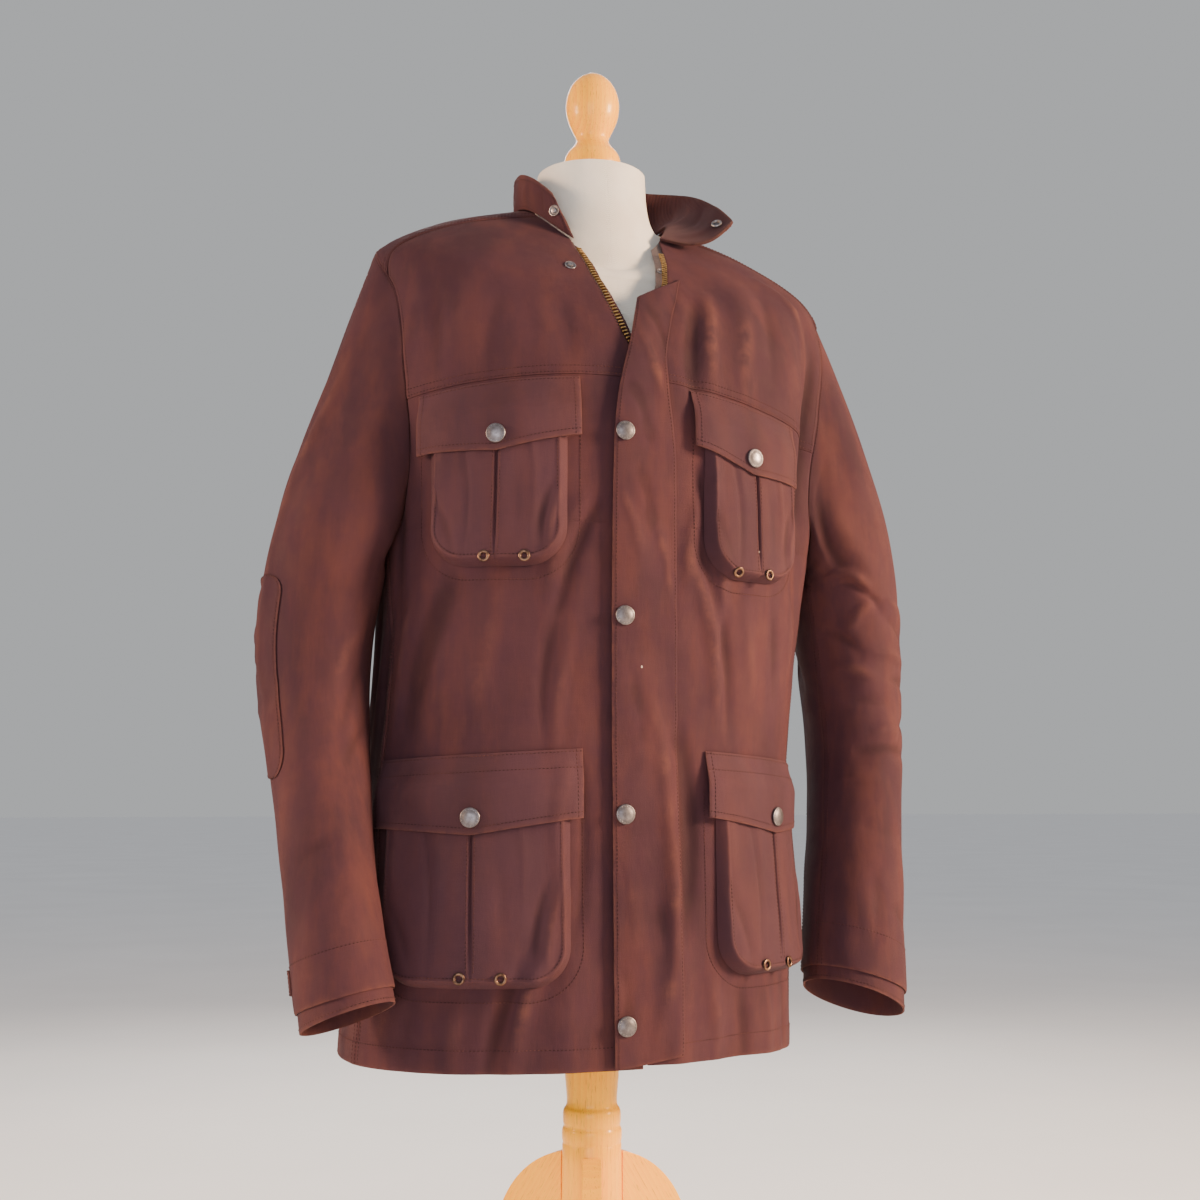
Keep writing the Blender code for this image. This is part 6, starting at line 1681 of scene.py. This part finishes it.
def addCollar():
    count, rises, long, tall = (collarShape[key] for key in ("around", "rises", "long", "high"))
    numbers = spline(collarShape["rows"], np.linspace(0.0, len(collarShape["rows"]) - 1.0, count))
    angle, left, back, high, bow, sag = numbers.T
    top = np.stack([left, back, high], axis=-1)
    lean = np.hypot(left, back) / np.linalg.norm(top, axis=-1)
    lift = cloth["wall"] + collarShape["lift"] + collarShape["wall"] * lean
    foot = skin(angle, np.full(count, 11.0), lift)
    out = foot - bodyBase(angle + 180.0, 11.0)
    out[:, 2] = 0.0
    out = unit(out)
    rise = np.linspace(0.0, 1.0, rises)[:, None, None]
    # the two front corners are rounded off a little
    ends = np.minimum(np.arange(count), np.arange(count)[::-1]) / count
    cut = 1.0 - collarShape["cornerCut"] * (1.0 - smooth(ends / collarShape["cornerShare"]))
    arch = np.sin(np.pi * rise)
    middle = foot + top * cut[:, None] * rise + (out * bow[:, None] - up * sag[:, None]) * arch
    middle = middle[:, ::-1]
    away = gridNormals(middle)
    share = np.linspace(0.0, 1.0, count)[None, :] * long
    height = np.linspace(0.0, 1.0, rises)[:, None] * tall
    table = [
        (a * long, b * tall, c * long, d * tall, wide, high)
        for a, b, c, d, wide, high in collarShape["creases"]
    ]
    crease = creaseHeight(share, height, table) + unevenness(share * 2.0, height * 2.0, 0.0003)
    calm = smooth(rise[:, :, 0] * 4.0)
    middle = middle + away * (crease * calm)[..., None]
    away = gridNormals(middle)
    wall, gap, facing = collarShape["wall"], collarShape["facingGap"], collarShape["facingWall"]
    distances = borderDistances(middle)
    outer = middle + away * (wall + edgeLift(distances, cloth["drop"]))[..., None]
    worn = wornAt(distances, {"top": 1.0, "left": 0.9, "right": 0.9, "bottom": 0.2})
    addCloth("collar", outer, middle, "waxed_yoke", worn, crease)
    sewBorders("collar", outer, "top left right", 0.0055)
    sewBorders("collar", outer, "bottom", 0.0035)
    near = middle - away * gap
    inner = near - away * (facing + edgeLift(distances, cloth["thickDrop"]))[..., None]
    # turned so that its outer face is the one towards the neck
    addCloth("collar_facing", inner[:, ::-1], near[:, ::-1], "cord", worn[:, ::-1], -crease[:, ::-1])
    rowOf = lambda row: int(round(row / 4.0 * (rises - 1)))
    columnOf = lambda column: int(round((column % 19) / 18.0 * (count - 1)))
    row, column = rowOf(2), columnOf(-2)
    place = middle[row, column] + away[row, column] * (wall + cloth["gap"])
    addFastener("collar_stud", place, away[row, column], "stud")
    row, column = rowOf(3), columnOf(1)
    place = middle[row, column] - away[row, column] * (gap + facing + cloth["gap"] * 3.0)
    addFastener("collar_socket", place, -away[row, column], "socket")


def addNeckSnaps():
    angle, level = placeOnFront(np.array(neckSnaps["studX"]), np.array(neckSnaps["studZ"]))
    place = skin(angle, level, cloth["wall"] + cloth["gap"] * 1.5)
    addFastener("neck_stud", place, bodyNormal(angle, level), "stud")
    level = np.array(neckSnaps["socketLevel"])
    angle = angleAt(edgeAcross(level, 1) - neckSnaps["socketIn"], level)
    place = skin(angle, level, zipLine["zip_tape_left"][4] + cloth["gap"] * 1.5)
    addFastener("neck_socket", place, bodyNormal(angle, level), "neckSocket")


# form and stand

def addForm():
    around = 108
    angle = np.linspace(0.0, 360.0, around, endpoint=False)
    across, ahead = np.sin(np.radians(angle)), np.cos(np.radians(angle))
    rings = []
    for z, half, front, back, middle in formShape["rows"]:
        deep = np.where(ahead > 0.0, front, back)
        rings.append(np.stack([half * across, middle - deep * ahead, np.full(around, z)], axis=-1))
    clear = formShape["clearance"] + formShape["frontTuck"] * smooth(ahead * 1.6)[:, None]
    for level, tuck in formShape["shoulders"]:
        ring = bodyBase(angle, level) - bodyNormal(angle, level) * clear
        rings.append(ring * np.array([tuck, tuck, 1.0]))
    for z, radius in formShape["neck"]:
        rings.append(np.stack([radius * across, 0.004 - radius * ahead, np.full(around, z)], axis=-1))
    grid = rounded(rings, 3)
    run = runAlong(np.concatenate([grid, grid[:, :1]], axis=1), 1)[:, :-1]
    at = np.stack([run, runAlong(grid, 0), np.zeros_like(run)], axis=-1).reshape(-1, 3)
    faces = turnedFaces(len(grid), around)
    makeObject("form_torso", grid.reshape(-1, 3), faces, "jersey", 60.0, {"clothAt": at})


def rounded(profile, rounds):
    # cuts the corners off a turned profile, so that beads and hollows run round
    profile = np.array(profile, float)
    for _ in range(rounds):
        near = profile[:-1] * 0.75 + profile[1:] * 0.25
        far = profile[:-1] * 0.25 + profile[1:] * 0.75
        middle = np.stack([near, far], axis=1).reshape(-1, *profile.shape[1:])
        profile = np.concatenate([profile[:1], middle, profile[-1:]])
    return profile


def addTurned(name, profile, foot):
    around = 72
    rows = [(foot + height, radius) for height, radius in rounded(profile, 2)]
    turn = np.linspace(0.0, 2.0 * np.pi, around, endpoint=False)
    points = np.array([(r * math.cos(a), r * math.sin(a), z) for z, r in rows for a in turn])
    values = {"grainAt": points[:, [2, 0, 1]].copy()}
    makeObject(name, points, turnedFaces(len(rows), around), "wood", 50.0, values)


def addLegs():
    arc = legShape["arc"]
    sweep = np.radians(np.linspace(arc["from"], arc["to"], arc["steps"]))
    bow = arc["radius"] * np.stack([np.cos(sweep), np.sin(sweep)], axis=-1)
    head = np.array([arc["r"], arc["z"]]) + bow
    sole = legShape["sweep"].index((0.2650, 0.0000))
    outside = rounded(np.concatenate([head[-1:], legShape["sweep"][:sole + 1]]), 2)[1:]
    inside = rounded(legShape["sweep"][sole + 1:], 2)
    outline = np.concatenate([[legShape["top"]], head, outside, inside])
    count = len(outline)
    for number, word in enumerate(("front", "left", "right")):
        heading = math.radians(legShape["heading"] + 120.0 * number)
        out = np.array([math.cos(heading), math.sin(heading), 0.0])
        across = np.array([-out[1], out[0], 0.0]) * legShape["thick"] / 2.0
        points = [out * r + across * flip + up * z for flip in (-1.0, 1.0) for r, z in outline]
        faces = [tuple(reversed(range(count))), tuple(range(count, 2 * count))]
        faces += [(j, (j + 1) % count, (j + 1) % count + count, j + count) for j in range(count)]
        lean = math.radians(legShape["grainLean"])
        along = np.array([r * math.cos(lean) - z * math.sin(lean) for r, z in outline])
        aside = np.array([r * math.sin(lean) + z * math.cos(lean) for r, z in outline])
        depth = np.repeat([-0.5, 0.5], count) * legShape["thick"] + 0.13 * number
        grain = np.stack([np.tile(along, 2), np.tile(aside, 2), depth], axis=-1)
        piece = makeObject("leg_" + word, points, faces, "wood", 40.0, {"grainAt": grain})
        edge = piece.modifiers.new("softEdge", "BEVEL")
        edge.width, edge.segments, edge.limit_method = legShape["bevel"], 3, "ANGLE"
        edge.angle_limit = math.radians(50.0)


addFly()
for side in (-1, 1):
    frontPanels(side)
backPanel()
yokePanel()
print("body made")
for sleeve in (sleeveRight, sleeveLeft):
    addSleeve(sleeve)
    addCuff(sleeve)
    for kind in trims:
        addTrim(kind, sleeve)
print("sleeves made")
for pocket in pockets:
    addPouch(pocket)
    addFlap(pocket)
    sewPouch(pocket)
    addPocketMetal(pocket)
print("pockets made")
addEdgeStrip("zip_tape_right", "tape")
addEdgeStrip("zip_tape_left", "tape")
addEdgeStrip("zip_guard", "waxed_body")
addTeeth("right", -1)
addTeeth("left", 1)
addCollar()
addNeckSnaps()
addForm()
addTurned("column", columnShape, 0.0)
addTurned("finial", finialShape["profile"], finialShape["foot"])
addLegs()
makeStitches()
slider = bpy.data.objects["zip_slider"]
for place in slider.material_slots:
    place.material = finish["dulledBrass"]
print("trim, stand and stitching made")


# floor, lights and camera

studio = {
    "floorReach": 60.0, "floor": (0.88, 0.87, 0.85), "surround": (0.46, 0.47, 0.48),
    "air": (0.90, 0.93, 1.00), "airStrength": (0.10, 0.80),  # at the horizon, overhead
    "lights": [
        # name       place                 aim                  size   power   colour
        ("keyWarm", (2.6, -1.5, 1.7), (0.0, 0.0, 0.80), 0.8, 310.0, (1.0, 0.70, 0.47)),
        ("sideWarm", (-2.8, 0.2, 1.5), (0.0, 0.0, 0.8), 0.8, 110.0, (1.0, 0.68, 0.46)),
        ("frontCool", (-1.5, -3.0, 1.1), (0.0, 0.0, 0.7), 1.8, 48.0, (0.90, 0.91, 1.0)),
        ("rim", (0.6, 2.8, 2.4), (0.0, 0.0, 0.9), 1.6, 70.0, (1.0, 0.97, 0.93)),
    ],
}
view = {"place": (-0.4714, -1.4608, 0.686), "yaw": 17.78, "pitch": 7.0, "focal": 48.4}


def makeStudio():
    reach = studio["floorReach"]
    mesh = bpy.data.meshes.new("floor")
    corners = [(-reach, -reach, 0), (reach, -reach, 0), (reach, reach, 0), (-reach, reach, 0)]
    mesh.from_pydata(corners, [], [(0, 1, 2, 3)])
    material, tree, surface, place = newMaterial("paleFloor", {"Specular IOR Level": 0.2})
    cloud = noise(tree, place, 1.4, 3.0)
    feed(tree, surface.inputs["Base Color"], blend(tree, cloud, studio["floor"], (0.77, 0.76, 0.745)))
    feed(tree, surface.inputs["Roughness"], plus(tree, times(tree, cloud, 0.1), 0.8))
    mesh.materials.append(material)
    floor = bpy.data.objects.new("floor", mesh)
    bpy.context.scene.collection.objects.link(floor)
    # soft air, brighter from above than from the sides, against a plain pale surround
    world = bpy.data.worlds.new("studioAir")
    world.use_nodes = True
    tree = world.node_tree
    air = tree.nodes["Background"]
    parts = put(tree, "ShaderNodeSeparateXYZ")
    feed(tree, parts.inputs[0], put(tree, "ShaderNodeTexCoord").outputs["Generated"])
    feed(tree, air.inputs[0], (*studio["air"], 1.0))
    feed(tree, air.inputs[1], levelsOf(tree, parts.outputs[2], 0.0, 1.0, *studio["airStrength"]))
    surround = put(tree, "ShaderNodeBackground")
    feed(tree, surround.inputs[0], (*studio["surround"], 1.0))
    chosen = put(tree, "ShaderNodeMixShader")
    feed(tree, chosen.inputs[0], put(tree, "ShaderNodeLightPath").outputs["Is Camera Ray"])
    feed(tree, chosen.inputs[1], air.outputs[0])
    feed(tree, chosen.inputs[2], surround.outputs[0])
    feed(tree, tree.nodes["World Output"].inputs[0], chosen.outputs[0])
    bpy.context.scene.world = world
    for name, place, aim, size, power, colour in studio["lights"]:
        lamp = bpy.data.lights.new(name, "AREA")
        lamp.size, lamp.energy, lamp.color = size, power, colour
        item = bpy.data.objects.new(name, lamp)
        item.location = place
        direction = bpy.context.scene.cursor.location.copy()
        direction.xyz = [a - b for a, b in zip(aim, place)]
        item.rotation_euler = direction.to_track_quat("-Z", "Y").to_euler()
        bpy.context.scene.collection.objects.link(item)


def makeCamera():
    lens = bpy.data.cameras.new("camera")
    lens.lens, lens.sensor_width = view["focal"], 36.0
    camera = bpy.data.objects.new("camera", lens)
    camera.location = view["place"]
    camera.rotation_euler = (math.radians(90.0 + view["pitch"]), 0.0, math.radians(-view["yaw"]))
    bpy.context.scene.collection.objects.link(camera)
    bpy.context.scene.camera = camera


makeStudio()
makeCamera()
